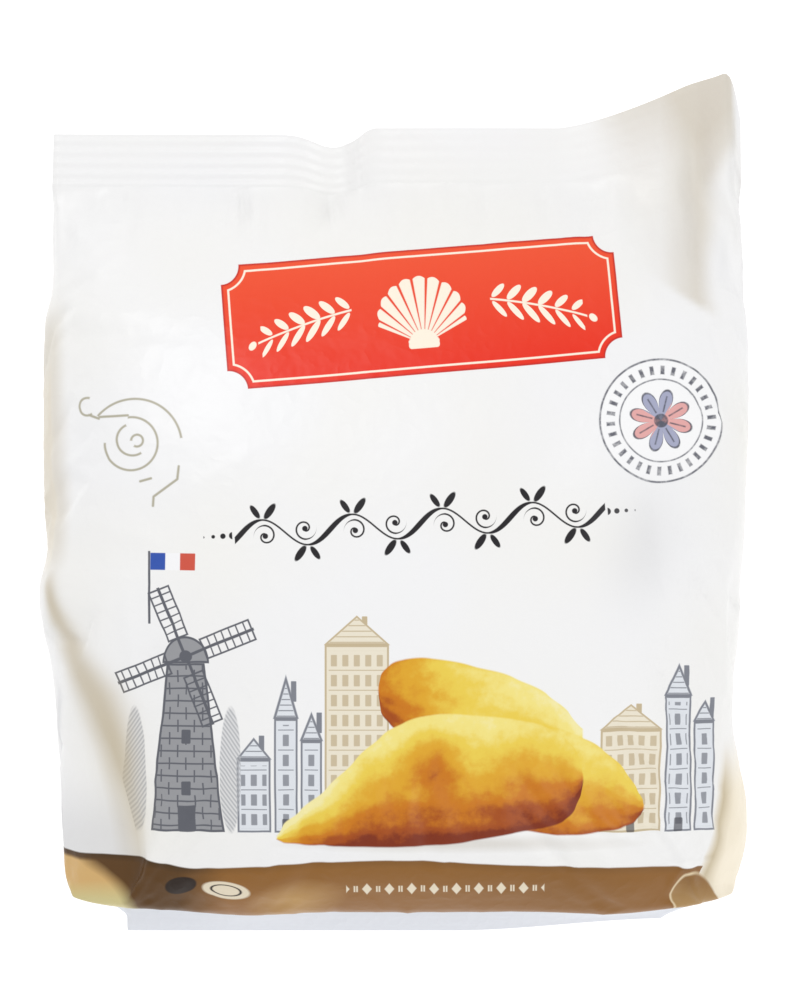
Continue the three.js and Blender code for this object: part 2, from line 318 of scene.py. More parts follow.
def loftFilm(grid):
    columns, side = grid["front"], grid["gusset"]
    behind = columns + 2 * side
    r = rowPlaces(grid)
    mid = middleOf(r)
    opening = (mid["frontCrease"] - mid["backCrease"]) / bagShape["depth"]
    opened = ease(0.02, 0.2, opening)
    tucked = 1 - (1 - bagShape["backEdge"]) * ease(0, 0.35, opening)
    turn = (1 - ease(sealRoot, 0.2, r)) * ease(0, sealRoot, r)
    left, right = reach * through(bagShape["leftCrease"], r), reach * through(bagShape["rightCrease"], r)
    leftOut = np.minimum(reach * through(bagShape["leftReach"], r), left)
    rightOut = np.maximum(reach * through(bagShape["rightReach"], r), right)
    leftRise, rightRise = bagShape["leftCornerRise"] * turn, bagShape["rightCornerRise"] * turn
    frontLeft = (left, mid["frontUp"] + leftRise, mid["frontCrease"])
    frontRight = (right, mid["frontUp"] + rightRise, mid["frontCrease"])
    less = 1 - 0.5 * ease(sealRoot, 0.08, r)  # the back rises less, but with the front where they are welded
    backLeft = (leftOut * tucked, mid["backUp"] + leftRise * less, mid["backCrease"])
    backRight = (rightOut * tucked, mid["backUp"] + rightRise * less, mid["backCrease"])

    across = closerAtEdges(np.arange(columns) / columns)[None, :] * np.ones_like(r)
    roundness = bagShape["frontRound"]
    front = panelPoints(frontLeft, frontRight, mid["frontUp"], mid["front"], across, roundness)
    place = bagShape["tuckPlace"]
    rightTuck = through(bagShape["rightTuck"], r)
    rightSide = gussetPoints(frontRight, backRight, rightOut, rightTuck, place, opened, side)
    leftTuck = through(bagShape["leftTuck"], r)
    leftSide = gussetPoints(backLeft, frontLeft, leftOut, leftTuck, 1 - place, opened, side)

    # in the seals each column of the back lies right under one of the front or of a gusset
    twin = [np.stack(backRight, -1), rightSide[:, ::-1], front[:, ::-1], leftSide[:, :0:-1]]
    twin = np.concatenate(twin, 1)
    k = columns + side - np.arange(behind)
    share = np.maximum(np.maximum(k - columns, -k), 0) / side
    twin[..., 2] -= bagShape["filmThickness"] * (1 - share ** 4)
    matched = 2 * (twin[..., 0] - backRight[0]) / (backLeft[0] - backRight[0]) - 1
    even = closerAtEdges(np.arange(behind) / behind)[None, :]
    free = ease(0, 0.12, opening)
    across, roundness = lerp(matched, even, free), bagShape["backRound"]
    back = panelPoints(backRight, backLeft, mid["backUp"], mid["back"], across, roundness)
    root, head = grid["bottomRows"], grid["bottomRows"] + grid["bodyRows"]
    middle = (root + head) // 2
    # beyond the seals the layers part from there
    twin[root:middle], twin[middle:head] = twin[root], twin[head]
    apart = ease(sealRoot, sealRoot + 0.01, r) * (1 - ease(sealStart - 0.01, sealStart, r))
    back = lerp(twin, back, apart[..., None])

    points = np.concatenate([front, rightSide, back, leftSide], 1)
    count = points.shape[1]
    onBack = np.zeros((len(r), count), bool)
    onBack[:, columns + side + 1:columns + side + behind] = True
    points = foldedPoints(points, r * np.ones((1, count)), onBack)
    return {"points": points, "r": r[:, 0], "onBack": onBack, "grid": grid}


# The film is a little too long for its filling, and the pressure inside wrinkles it.
filmCloth = {
    "grid": {"front": 80, "gusset": 13, "bottomRows": 3, "bodyRows": 130, "topRows": 6},
    "scale": 10.0,  # the solver works best on something two metres wide
    "frames": 30,
    "extraFilm": 0.09,
    "hold": 0.005,  # how firmly the free film is held to its shape
    "backHold": 0.5,
    "mostTravel": 4.5,  # millimetres
    # the r over which the seals let go and take hold, and over which the film grows
    "sealHold": ((0.04, 0.09), (0.88, 0.945)), "growth": ((0.05, 0.14), (0.9, 0.95)),
    "solver": {
        "quality": 5, "mass": 0.2, "air_damping": 2.0, "pin_stiffness": 0.25,
        "tension_stiffness": 12.0, "compression_stiffness": 12.0, "shear_stiffness": 7.2,
        "tension_damping": 5.0, "compression_damping": 5.0, "shear_damping": 5.0,
        "bending_model": "ANGULAR", "bending_stiffness": 0.02, "bending_damping": 0.5,
        "use_pressure": True, "uniform_pressure_force": 0.9,
        "vertex_group_mass": "hold", "vertex_group_shrink": "extra",
    },
}


def settleFilm():
    settings = filmCloth
    film = loftFilm(settings["grid"])
    points = film["points"].copy()
    points[..., 2] = np.maximum(0, points[..., 2])
    rows, columns, _ = points.shape
    start = points * mm * settings["scale"]
    faces = [
        (i * columns + k, i * columns + (k + 1) % columns,
         (i + 1) * columns + (k + 1) % columns, (i + 1) * columns + k)
        for i in range(rows - 1) for k in range(columns)
    ]
    mesh = bpy.data.meshes.new("clothFilm")
    mesh.from_pydata(start.reshape(-1, 3).tolist(), [], faces)
    cloth = addObject("clothFilm", mesh)

    r = film["r"][:, None] * np.ones((1, columns))
    letGo, takeHold = settings["sealHold"]
    held = np.maximum(np.maximum(1 - ease(*letGo, r), ease(*takeHold, r)), settings["hold"])
    held = np.where(film["onBack"], np.maximum(held, settings["backHold"]), held)
    held = np.where(points[..., 2] < 0.01, 1.0, held).ravel()
    extra = between(*settings["growth"], r).ravel()
    holdGroup = cloth.vertex_groups.new(name="hold")
    extraGroup = cloth.vertex_groups.new(name="extra")
    for i in range(len(held)):
        holdGroup.add([i], float(held[i]), "REPLACE")
        extraGroup.add([i], float(extra[i]), "REPLACE")

    modifier = cloth.modifiers.new("cloth", "CLOTH")
    solver = modifier.settings
    for name, value in settings["solver"].items():
        setattr(solver, name, value)
    solver.shrink_min = 0.0
    solver.shrink_max = -settings["extraFilm"]
    solver.effector_weights.gravity = 0
    modifier.collision_settings.use_collision = False
    modifier.collision_settings.use_self_collision = False
    modifier.point_cache.frame_end = settings["frames"]
    for frameNumber in range(1, settings["frames"] + 1):
        bpy.context.scene.frame_set(frameNumber)
    settled = cloth.evaluated_get(bpy.context.evaluated_depsgraph_get())
    places = np.empty(rows * columns * 3, np.float32)
    settled.data.vertices.foreach_get("co", places)
    travel = (places.reshape(rows, columns, 3) - start) / (mm * settings["scale"])
    bpy.data.objects.remove(cloth)
    bpy.data.meshes.remove(mesh)
    bpy.context.scene.frame_set(1)
    size = np.linalg.norm(travel, axis=2, keepdims=True) + 1e-9
    limit = settings["mostTravel"]
    return travel * limit * np.tanh(size / limit) / size


def stretchTable(values, places, wraps):  # reads a table's rows between its own rows, smoothly
    count = len(values)
    i = np.floor(places).astype(int)
    t = (places - i)[:, None, None]
    a, b, c, d = [
        values[(i + step) % count if wraps else np.clip(i + step, 0, count - 1)] for step in (-1, 0, 1, 2)
    ]
    square, cube = 2 * a - 5 * b + 4 * c - d, 3 * b - a - 3 * c + d
    return 0.5 * (2 * b + (c - a) * t + square * t ** 2 + cube * t ** 3)


def coarsePlaces(fineParts, coarseParts):  # the coarse grid's place for each row or column of the fine one
    places, offset = [], 0
    for fine, coarse in zip(fineParts, coarseParts):
        places.append(offset + np.arange(fine) * coarse / fine)
        offset += coarse
    return np.concatenate(places)


def ontoFineGrid(travel):
    fine, coarse = fineGrid, filmCloth["grid"]
    rowKeys = ("bottomRows", "bodyRows", "topRows")
    rowPart = coarsePlaces([fine[key] for key in rowKeys], [coarse[key] for key in rowKeys])
    rowPart = np.append(rowPart, rowPart[-1] + coarse["topRows"] / fine["topRows"])
    columnParts = [
        [grid["front"], grid["gusset"], grid["front"] + 2 * grid["gusset"], grid["gusset"]]
        for grid in (fine, coarse)
    ]
    longer = stretchTable(travel, rowPart, False)
    return stretchTable(longer.transpose(1, 0, 2), coarsePlaces(*columnParts), True).transpose(1, 0, 2)


def toOutline(points):  # eases the settled film out or in, so that it reaches its outline
    x, u = points[..., 0], points[..., 1]
    step, give = 2.0, bagShape["outlineGive"]
    heights = np.arange(4.0, 210.0, step)
    place = np.clip(((u - heights[0]) / step).astype(int), 0, len(heights) - 1)
    for sign, outline in ((-1, bagShape["leftOutline"]), (1, bagShape["rightOutline"])):
        outermost = np.full(len(heights), -200.0)
        np.maximum.at(outermost, place.ravel(), (sign * x).ravel())
        gap = sign * through(outline, np.clip(heights + step / 2, *bagShape["outlineSpan"])) - outermost
        gap = np.pad(np.clip(gap, -give, give), 2, mode="edge")
        gap = np.convolve(gap, (0.1, 0.2, 0.4, 0.2, 0.1), mode="valid")
        edge = np.interp(u, heights + step / 2, outermost)
        weight = ease(edge - 34, edge, sign * x) * between((4, 9), (196, 206), u)
        points[..., 0] += sign * weight * np.interp(u, heights + step / 2, gap)
    return points


# Crimps, folds and creases are in millimetres.
sealCrimps = {
    "pitch": 3.1, "height": 0.2, "margin": 0.8, "fade": (-62, 20), "ripple": 9,
    "finPitch": 2.1, "finHeight": 0.1, "finSpan": ((0.3, 1), (6.5, 8.5)),
}
fillingLumps = {
    "seed": 5, "height": 1.1, "long": 27.0, "wide": 19.0,
    "rows": (4, 38, 42, 8), "columns": (3, -58, 58, 9),  # how many, where the first lies, pitch, stray
}
creases = {
    "seed": 11,
    "tall": 245.0,  # the film from seal to seal, laid flat
    "halfWidth": (0.9, 2.2),
    # how many, how long, how high, and how far their direction strays
    "topGathers": (64, (7, 30), 0.5, 0.2),
    "bottomGathers": (46, (6, 18), 0.45, 0.25),
    "edgeGathers": (120, (7, 30), 0.42, 0.75),
    "crumples": (150, (8, 34), 0.2),
}
softFolds = [
    # from, to, height, half width
    ((-10.5, 221), (-10.5, 203), 0.9, 1.3),
    ((-15.2, 219), (-15.8, 200), 0.7, 0.9),
    ((-19.5, 205), (-18.5, 193), -1.3, 1.3),
    ((-16.4, 204), (-16, 194), 0.8, 1.2),
    ((-43.5, 205), (-44.5, 191), 1.4, 1.2),
    ((-40.5, 204), (-41, 194), -1.0, 1.2),
    ((-86, 206), (-76, 192), -0.8, 2.4),
    ((-80, 201), (-76, 186), 1.0, 3.4),
    ((22, 208), (31, 206), -0.7, 1.7),
    ((48, 209), (58, 206.5), -0.8, 1.9),
    ((-93, 163.5), (-60, 162), -0.55, 1.7),
    ((-88, 168), (-66, 169), 0.4, 2.4),
    ((69, 122), (75, 86), -2.8, 7.0),
    ((74, 128), (80, 96), 0.5, 2.6),
    ((-86, 112), (-62, 104), 0.4, 2.8),
    ((-74, 95), (-70, 60), 0.5, 2.2),
    ((-71, 44), (-69, 12), 0.9, 1.5),
    ((-76, 66), (-62, 78), -0.5, 2.6),
    ((60, 186), (74, 168), 0.5, 2.2),
    ((52, 192), (70, 176), -0.45, 2.4),
    ((86, 150), (90, 118), 0.5, 1.8),
    ((-60, 190), (-38, 182), 0.35, 3.2),
    ((-20, 196), (4, 190), -0.35, 3.4),
    ((56, 30), (76, 16), 0.6, 1.7),
    ((44, 26), (52, 9), 0.45, 1.8),
    ((-34, 24), (-38, 8), 0.4, 1.8),
    ((8, 24), (5, 8), -0.4, 2.0),
    ((74.5, 8), (78, 15), 0.6, 1.1),
    ((78, 15), (84, 18), 0.6, 1.1),
]
backSeam = {
    "fold": -10.5, "edge": -22.5, "lift": 0.45,
    # where the seam crosses the top seal: height, middle in x and half width of each ridge and its gathers
    "ridges": [(0.8, -10.5, 1.1), (-0.35, -13.6, 1.3)], "gathers": (0.25, 1.9, -20, 9),
}


def foldHeight(x, u, start, end, height, halfWidth):
    run = np.subtract(end, start)
    length = np.hypot(*run)
    along = ((x - start[0]) * run[0] + (u - start[1]) * run[1]) / length
    off = ((x - start[0]) * run[1] - (u - start[1]) * run[0]) / length
    taper = between((-0.3, 0.3), (0.6, 1.25), along / length)
    return height * taper * np.exp(-np.abs(off / halfWidth) ** 1.6)


def fillingRelief(x, u):  # the wrapped cakes inside press lightly against the front
    rng = np.random.default_rng(fillingLumps["seed"])
    lift = np.zeros_like(x)
    rows, firstU, pitchU, strayU = fillingLumps["rows"]
    columns, firstX, pitchX, strayX = fillingLumps["columns"]
    for row in range(rows):
        for column in range(columns):
            across = x - (firstX + pitchX * column + rng.uniform(-strayX, strayX))
            up = u - (firstU + pitchU * row + rng.uniform(-strayU, strayU))
            turn = rng.uniform(-0.5, 0.5)
            long = (across * np.cos(turn) + up * np.sin(turn)) / fillingLumps["long"]
            wide = (up * np.cos(turn) - across * np.sin(turn)) / fillingLumps["wide"]
            lift += fillingLumps["height"] * rng.uniform(0.4, 1) * np.exp(-(long ** 2 + wide ** 2) ** 1.3)
    return lift - lift.mean()


def creaseRelief(film):  # many small stiff creases, laid out on the film itself
    _, around = filmPlaces(film)
    around = around[:, :-1]
    steps = np.linalg.norm(np.diff(film["points"], axis=0), axis=2)
    down = np.concatenate([np.zeros((1, steps.shape[1])), np.cumsum(steps, 0)])
    r = film["r"]
    low, high = down[np.searchsorted(r, 0.045)], down[np.searchsorted(r, 0.936)]
    share = (down - low) / (high - low)  # 0 at the bottom seal and 1 at the top one
    tall = creases["tall"]
    up = share * tall
    whole = around[0].max()
    edges = [0.0, float(np.median(around[:, film["grid"]["front"]]))]
    rng = np.random.default_rng(creases["seed"])
    lift = np.zeros_like(up)

    def crease(start, angle, long, height):
        end = (start[0] + long * math.cos(angle), start[1] + long * math.sin(angle))
        width = rng.uniform(*creases["halfWidth"])
        reachOf = long + 4 * width
        near = (np.abs(around - start[0]) < reachOf) & (np.abs(up - start[1]) < reachOf)
        lift[near] += foldHeight(around[near], up[near], start, end, height, width)

    for name, start, turn in (("topGathers", tall, -math.pi / 2), ("bottomGathers", 0.0, math.pi / 2)):
        count, lengths, highest, stray = creases[name]
        for _ in range(count):
            long = rng.uniform(*lengths)
            place = (rng.uniform(0, whole), start)
            crease(place, turn + rng.normal(0, stray), long, highest * rng.uniform(-1, 1))
    count, lengths, highest, stray = creases["edgeGathers"]
    for _ in range(count):
        edge = edges[rng.integers(2)] % whole
        inward = rng.choice((-1, 1))
        angle = (0 if inward > 0 else math.pi) + rng.normal(0, stray)
        long = rng.uniform(*lengths)
        place = tall * rng.beta(0.7, 0.7)
        height = highest * rng.uniform(-1, 1) * (0.5 + 0.5 * abs(2 * place / tall - 1))
        crease((edge + inward * rng.uniform(1, 9), place), angle, long, height)
    count, lengths, highest = creases["crumples"]
    for _ in range(count):
        long = rng.uniform(*lengths)
        place = (rng.uniform(0, whole), rng.uniform(0, tall))
        crease(place, rng.uniform(0, math.pi), long, highest * rng.uniform(-1, 1))
    return lift


def besideGussets(film, near):  # 1 on both gussets, and less over the next few columns
    front, side = film["grid"]["front"], film["grid"]["gusset"]
    count = film["points"].shape[1]
    column = np.arange(count)
    away = np.minimum(np.abs(column - (front + side / 2)), np.abs(column - (count - side / 2)))
    away = np.minimum(away, column + side / 2) - side / 2
    return 1 - ease(0, near, away)[None, :]


# 0 where the welded seals hold the film, and little where a gusset is folded flat beside them
def freeShare(film):
    r = film["r"][:, None]
    free = between((sealRoot, sealRoot + 0.02), (sealStart - 0.03, sealStart), r)
    flat = (1 - ease(0.06, 0.12, r)) + ease(0.8, 0.9, r)
    return (free * (1 - 0.9 * besideGussets(film, 10) * flat))[..., None]


def outward(points):
    acrossStep = np.roll(points, -1, 1) - np.roll(points, 1, 1)
    upStep = np.gradient(points, axis=0)
    normal = np.cross(acrossStep, upStep)
    return normal / (np.linalg.norm(normal, axis=2, keepdims=True) + 1e-9)


def addRelief(film, points):
    base = film["points"]
    x, u = base[..., 0], base[..., 1]
    r = film["r"][:, None] * np.ones((1, base.shape[1]))
    onBack = film["onBack"]
    onBody = between((0.045, 0.08), (0.925, 0.945), r)
    onFront = ~onBack

    lift = np.zeros_like(x)
    for fold in softFolds:
        lift += foldHeight(x, u, *fold) * onFront
    folded = besideGussets(film, 6) * (1 - ease(0.07, 0.15, r) * (1 - ease(0.8, 0.9, r)))
    lift += (fillingRelief(x, u) * onFront + creaseRelief(film)) * (1 - 0.9 * folded)
    points = points + outward(points) * (lift * onBody)[..., None]

    # the seals are crimped through both layers
    top, margin = bagShape["topSeal"], sealCrimps["margin"]
    sealUp = (r - sealStart) / (1 - sealStart) * top
    crimp = sealCrimps["height"] * np.sin(2 * np.pi * sealUp / sealCrimps["pitch"])
    crimp *= between((0, margin), (top - margin, top), sealUp) * (1 - 0.85 * ease(*sealCrimps["fade"], x))
    points[..., 2] += crimp * (0.8 + 0.2 * np.sin(x / sealCrimps["ripple"]))
    finUp = r * bagShape["length"]
    crimp = sealCrimps["finHeight"] * np.sin(2 * np.pi * finUp / sealCrimps["finPitch"])
    points[..., 2] += crimp * between(*sealCrimps["finSpan"], finUp)
    size, wave, *place = backSeam["gathers"]
    ridges = sum(height * hump(x, *middle) for height, *middle in backSeam["ridges"])
    ridges = ridges + size * np.sin(x / wave) * hump(x, *place)
    points[..., 2] += ridges * ease(0.925, 0.95, r)

    # the lapped seam's flap stands proud of the back, which the floor holds off elsewhere
    edge, fold = backSeam["edge"], backSeam["fold"]
    flap = between((edge - 0.5, edge), (fold, fold + 2.4), x)
    held = backSeam["lift"] * (1 - flap) * (1 - ease(0.91, 0.94, r)) * ease(0.05, 0.08, r)
    held = np.where(onBack, held, 0)
    points[..., 2] = np.maximum(0, points[..., 2]) + held
    return points


def filmPlaces(film):  # distance in millimetres out from the nearest front crease, less than 0 on the front
    base = film["points"]
    step = np.linalg.norm(np.roll(base, -1, 1) - base, axis=2)
    # one more column, for the wrap
    around = np.concatenate([np.zeros((len(base), 1)), np.cumsum(step, 1)], 1)
    rightCrease = around[:, film["grid"]["front"]][:, None]
    whole = around[:, -1][:, None]
    onFront = around <= rightCrease + 1e-6
    return np.where(onFront, -np.minimum(around, rightCrease - around),
                    np.minimum(around - rightCrease, whole - around)), around


# The gussets' cream print, with painted shade along the creases, the raised corner and the left edge.
creamAndShadeWash = {
    # on the low left: how dark the painted shade along the crease is, over the gusset's cream, its middle in
    # out, and its half width
    "leftShade": [
        (0, 0.2), (0.14, 0.35), (0.2, 0.5), (0.25, 0.55), (0.3, 0.74), (0.37, 0.7), (0.43, 0.62),
        (0.49, 0.66), (0.53, 0), (1, 0),
    ],
    "leftMiddle": [(0, 0.8), (0.25, 0.5), (0.31, -0.4), (0.38, -3.2), (0.44, -1.2), (0.49, -1.4), (1, -1)],
    "leftHalf": [(0, 3), (0.2, 4), (0.3, 5.4), (0.38, 7), (0.44, 5.6), (0.49, 3.4), (1, 3)],
    "low": (0.24, 0.33),  # the r over which the washes of the lower part end
    "upper": ((0.5, 0.54), (0.7, 0.76)), "upperLeft": 0.4, "upperFold": (12, 26),
    "rightShade": (0.85, 1.2, 3.8),  # how dark the painted shade beside the right crease is, its middle in out and its half width
    # painted shade along the left gusset's outer edge
    "leftEdge": 0.42, "edgeReach": (-97.5, -90.5), "edgeSpan": ((0.46, 0.56), (0.76, 0.84)),
    "cornerLine": ((64, 200), 17.6),  # where the upper right wash of cream and painted shade begins, and how it leans
    "cornerFold": ((72, 178), (0.524, 0.852)),  # the line that it ends along, and its direction
    "cornerShade": 0.54,
}


def creamAndShadeShares(out, x, u, r):  # how much of the darker cream, which carries painted shade along the creases, the raised corner and the left edge, and of the lighter cream each place has
    left, right = x < 0, x > 0
    onSide = ease(-0.4, 0.6, out)
    # painted shade along the low left crease, over the gusset's cream
    away = (out - through(creamAndShadeWash["leftMiddle"], r)) / through(creamAndShadeWash["leftHalf"], r)
    shade = np.where(left, through(creamAndShadeWash["leftShade"], r) * np.exp(-np.abs(away) ** 2.2), 0)
    low = 1 - ease(*creamAndShadeWash["low"], r)
    # painted shade beside the right crease, over the gusset's cream
    dark, *place = creamAndShadeWash["rightShade"]
    shade += np.where(right, dark * low * onSide * hump(out, *place), 0)
    beforeFold = 1 - ease(*creamAndShadeWash["upperFold"], out)
    upper = creamAndShadeWash["upperLeft"] * between(*creamAndShadeWash["upper"], r) * beforeFold
    light = np.where(left, upper, low * (1 - ease(35, 41, out))) * onSide

    # the upper right corner: a wash of cream and painted shade that grows towards the raised corner, and
    # ends along the gusset's fold
    (startX, startU), lean = creamAndShadeWash["cornerLine"]
    lean = math.radians(lean)
    along = (x - startX) * math.cos(lean) + (u - startU) * math.sin(lean)
    (foldX, foldU), (perX, perU) = creamAndShadeWash["cornerFold"]
    overFold = (x - foldX) * perX + (u - foldU) * perU
    amount = 0.22 + 0.055 * np.maximum(0, x - foldX) - 0.085 * np.maximum(0, x - 82.5)
    amount += 0.03 * np.maximum(0, u - 213)
    amount *= ease(-7, 7, along) * ease(-1.6, 1.6, overFold)
    amount *= 1 - ease(-3.4, 3.4, x - 86 - 0.6 * np.maximum(0, u - 206)) * ease(-6, 6, 218 - u)
    amount = np.clip(amount, 0, 0.95) * (1 - ease(19, 25, out))
    shade = np.maximum(shade, creamAndShadeWash["cornerShade"] * amount)
    # painted shade along the left outline
    edge = creamAndShadeWash["leftEdge"] * (1 - ease(*creamAndShadeWash["edgeReach"], x)) * beforeFold
    shade = np.maximum(shade, edge * between(*creamAndShadeWash["edgeSpan"], r))
    return np.clip(shade, 0, 1), np.clip(light, 0, 1)


# Painted soft grey shade on folds and edges: how much, then where it lies.
paintedGreyShade = {
    "gusset": (0.5, (-1, 3), (25, 47)),  # on the low left gusset
    "edge": (0.7, (-91.2, 1.7), ((18, 25), (60, 72))),  # on the gusset's outer edge
    "dent": (0.3, (67.5, 10), (105, 16), 0.15),  # in the dent at the right, which leans
}


def paintedGreyShadeShare(out, x, u):
    amount, start, end = paintedGreyShade["gusset"]
    left = amount * ease(*start, out) * (1 - ease(*end, u))
    amount, across, tall = paintedGreyShade["edge"]
    left = np.maximum(left, amount * hump(x, *across) * between(*tall, u))
    amount, across, tall, lean = paintedGreyShade["dent"]
    dent = amount * hump(x + lean * (106 - u), *across) * hump(u, *tall)
    return np.clip(np.where(x < 0, left, dent), 0, 1) * (1 - ease(30, 40, out))


bandEdge = [  # x across the bag, and the height u of the gold-brown band's top edge there
    (-98, 23.4), (-91, 23.2), (-84, 22.7), (-79, 22.1), (-74, 21.3), (-68, 20.3), (-63, 19.2), (-56, 18.3),
    (-50, 18.4), (-40, 18.9), (-27, 19.8), (-6, 20.8), (10, 20.5), (22, 19.8), (35, 19.2), (52, 18.8),
    (64, 18.6), (98, 18.3),
]


def bakeLayout(film, around):  # the front panel fills most of the square, so that its print stays sharp
    grid = film["grid"]
    columns, side = grid["front"], grid["gusset"]
    behind = columns + 2 * side
    knots = np.cumsum([0, columns, side, behind, side])
    marks = np.array([0.004, 0.734, 0.800, 0.930, 0.996])
    u = np.empty(around.shape)
    for part in range(4):
        a, b = knots[part], knots[part + 1]
        run = around[:, a:b + 1] - around[:, a][:, None]
        u[:, a:b + 1] = marks[part] + (marks[part + 1] - marks[part]) * run / (run[:, -1][:, None] + 1e-9)
    middle = film["points"][:, columns // 2]
    down = np.concatenate([[0], np.cumsum(np.linalg.norm(np.diff(middle, axis=0), axis=1))])
    v = 0.018 + 0.964 * down / down[-1]
    return u, v[:, None] * np.ones_like(u)


def smoothed(table, times):
    for _ in range(times):
        table = (np.roll(table, 1, 1) + 2 * table + np.roll(table, -1, 1)) / 4
        table[1:-1] = (table[2:] + 2 * table[1:-1] + table[:-2]) / 4
    return table


def endFaces(rows, columns, gusset):  # close both ends of the film, as (points, places in the bake)
    half = columns // 2
    faces = []
    for row, turned, v in ((0, False, 0.006), (rows - 1, True, 0.994)):
        for j in range(half):
            upper, nextUpper, lower, nextLower = [
                row * columns + (place - gusset) % columns for place in (j, j + 1, -j, -j - 1)
            ]
            left, right = 0.02 + 0.96 * j / half, 0.02 + 0.96 * (j + 1) / half
            ring = [(upper, (left, v + 0.003)), (lower, (left, v - 0.003)),
                    (nextLower, (right, v - 0.003)), (nextUpper, (right, v + 0.003))]
            if upper == lower:
                ring = ring[1:]
            elif nextUpper == nextLower:
                ring = ring[:3]
            faces.append(ring[::-1] if turned else ring)
    return faces


def gridCorners(rows, columns, wraps):  # the four corners of each square between the rows and columns
    i, k = np.meshgrid(np.arange(rows - 1), np.arange(columns), indexing="ij")
    width = columns if wraps else columns + 1
    after = (k + 1) % width
    return np.stack([i * width + k, i * width + after, (i + 1) * width + after, (i + 1) * width + k], -1)


def sharpenFolds(mesh, film):  # in the flat seals the film is folded sharply at both sides
    grid = film["grid"]
    rows, columns, _ = film["points"].shape
    ends = np.empty(len(mesh.edges) * 2, np.int32)
    mesh.edges.foreach_get("vertices", ends)
    row, column = np.divmod(ends.reshape(-1, 2), columns)
    folds = (grid["front"] + grid["gusset"], columns - grid["gusset"])
    alongFold = (column[:, 0] == column[:, 1]) & np.isin(column[:, 0], folds)
    height = film["r"][np.minimum(row.max(axis=1), rows - 1)]
    mesh.edges.foreach_set("use_edge_sharp", alongFold & ((height < 0.052) | (height > 0.92)))


def wrapped(table):  # with its first column once more at the end
    return np.concatenate([table, table[:, :1]], 1)


printSpan = 250.0  # millimetres across the map of the prints
outSpan, outStart = 400.0, 0.4  # millimetres across the ring's map, and where its crease lies


def layMaps(mesh, film, printed, ends):  # UV maps: where each print, the cream and the painted shade lie, and the layout for a bake
    outFromCrease, around = filmPlaces(film)
    x, u = wrapped(film["points"][..., 0]), wrapped(film["points"][..., 1])
    r = film["r"][:, None] * np.ones_like(x)
    printX, printU = wrapped(printed[..., 0]), wrapped(printed[..., 1])
    overEdge = (printU - through(bandEdge, np.clip(printX, -98, 98))) / bagShape["length"]
    ring = lerp(r, filmLook["bandTop"] + overEdge, ease(0.06, 0.11, r))
    maps = {
        "OFBake": bakeLayout(film, around),
        "filmPrint": (printX / printSpan + 0.5, printU / printSpan),  # millimetres seen from above
        "filmRing": (outFromCrease / outSpan + outStart, ring),
        "filmCreamAndShade": creamAndShadeShares(outFromCrease, x, u, r),
        "filmPaintedShade": (paintedGreyShadeShare(outFromCrease, x, u), np.zeros_like(x)),
    }
    rows, columns, _ = film["points"].shape
    corners = gridCorners(rows, columns, False).ravel()
    for name, (across, up) in maps.items():
        places = np.stack([across.ravel()[corners], up.ravel()[corners]], -1)
        endPlaces = ends if name == "OFBake" else np.tile((0.5, 0.0), (len(ends), 1))
        layer = mesh.uv_layers.new(name=name)
        layer.data.foreach_set("uv", np.concatenate([places, endPlaces]).astype(np.float32).ravel())


def buildBag():
    film = loftFilm(fineGrid)
    points = film["points"].copy()
    points = points + ontoFineGrid(settleFilm()) * freeShare(film)
    report("film settled")
    points = toOutline(points)
    # the print lies on the settled film, smoothed
    printed = film["points"] + smoothed(points - film["points"], 60)
    points = addRelief(film, points)
    rows, columns, _ = points.shape
    flat = points.reshape(-1, 3) * mm
    flat[:, 1] += bagShape["yShift"] * mm

    quads = gridCorners(rows, columns, True).reshape(-1, 4)
    ends = endFaces(rows, columns, film["grid"]["gusset"])
    mesh = bpy.data.meshes.new("filmBag")
    mesh.from_pydata(flat.tolist(), [], quads.tolist() + [[point for point, _ in ring] for ring in ends])
    mesh.validate()
    mesh.polygons.foreach_set("use_smooth", [True] * len(quads) + [False] * len(ends))
    sharpenFolds(mesh, film)
    layMaps(mesh, film, printed, np.array([place for ring in ends for _, place in ring]))
    mesh.update()
    report(f"film mesh of {len(mesh.vertices)} points, {len(mesh.polygons)} faces")
    return addObject("filmBag", mesh)


def tint(*shown):  # red, green and blue as shown, 0 to 255
    linear = [((v / 255 + 0.055) / 1.055) ** 2.4 if v > 10 else v / 255 / 12.92 for v in shown]
    return (*linear, 1)


class Field:  # what a node puts out; sums, products and the like of fields are nodes in the same tree
    def __init__(self, socket):
        self.socket = socket

    def __add__(self, other):
        return calculate("ADD", self, other)

    def __sub__(self, other):
        return calculate("SUBTRACT", self, other)

    def __rsub__(self, other):
        return calculate("SUBTRACT", other, self)

    def __mul__(self, other):
        return calculate("MULTIPLY", self, other)

    def __truediv__(self, other):
        return calculate("DIVIDE", self, other)

    def __neg__(self):
        return calculate("MULTIPLY", self, -1)

    def __abs__(self):
        return calculate("ABSOLUTE", self)


def feed(socket, value):
    if isinstance(value, Field):
        socket.id_data.links.new(value.socket, socket)
    else:
        socket.default_value = value


def addNode(tree, kind, values=None, **settings):
    node = tree.nodes.new(kind)
    count = len(tree.nodes)
    node.location = (220 * (count // 8), -200 * (count % 8))
    for key, value in settings.items():
        setattr(node, key, value)
    for key, value in (values or {}).items():
        feed(node.inputs[key], value)
    return node


def calculate(operation, *values):  # a Math node, or a Vector Math node where the first field is a vector
    first = next(value for value in values if isinstance(value, Field)).socket
    onNumbers = first.type == "VALUE"
    kind = "ShaderNodeMath" if onNumbers else "ShaderNodeVectorMath"
    outputs = addNode(first.id_data, kind, dict(enumerate(values)), operation=operation).outputs
    return Field(outputs["Value" if onNumbers or operation == "LENGTH" else "Vector"])


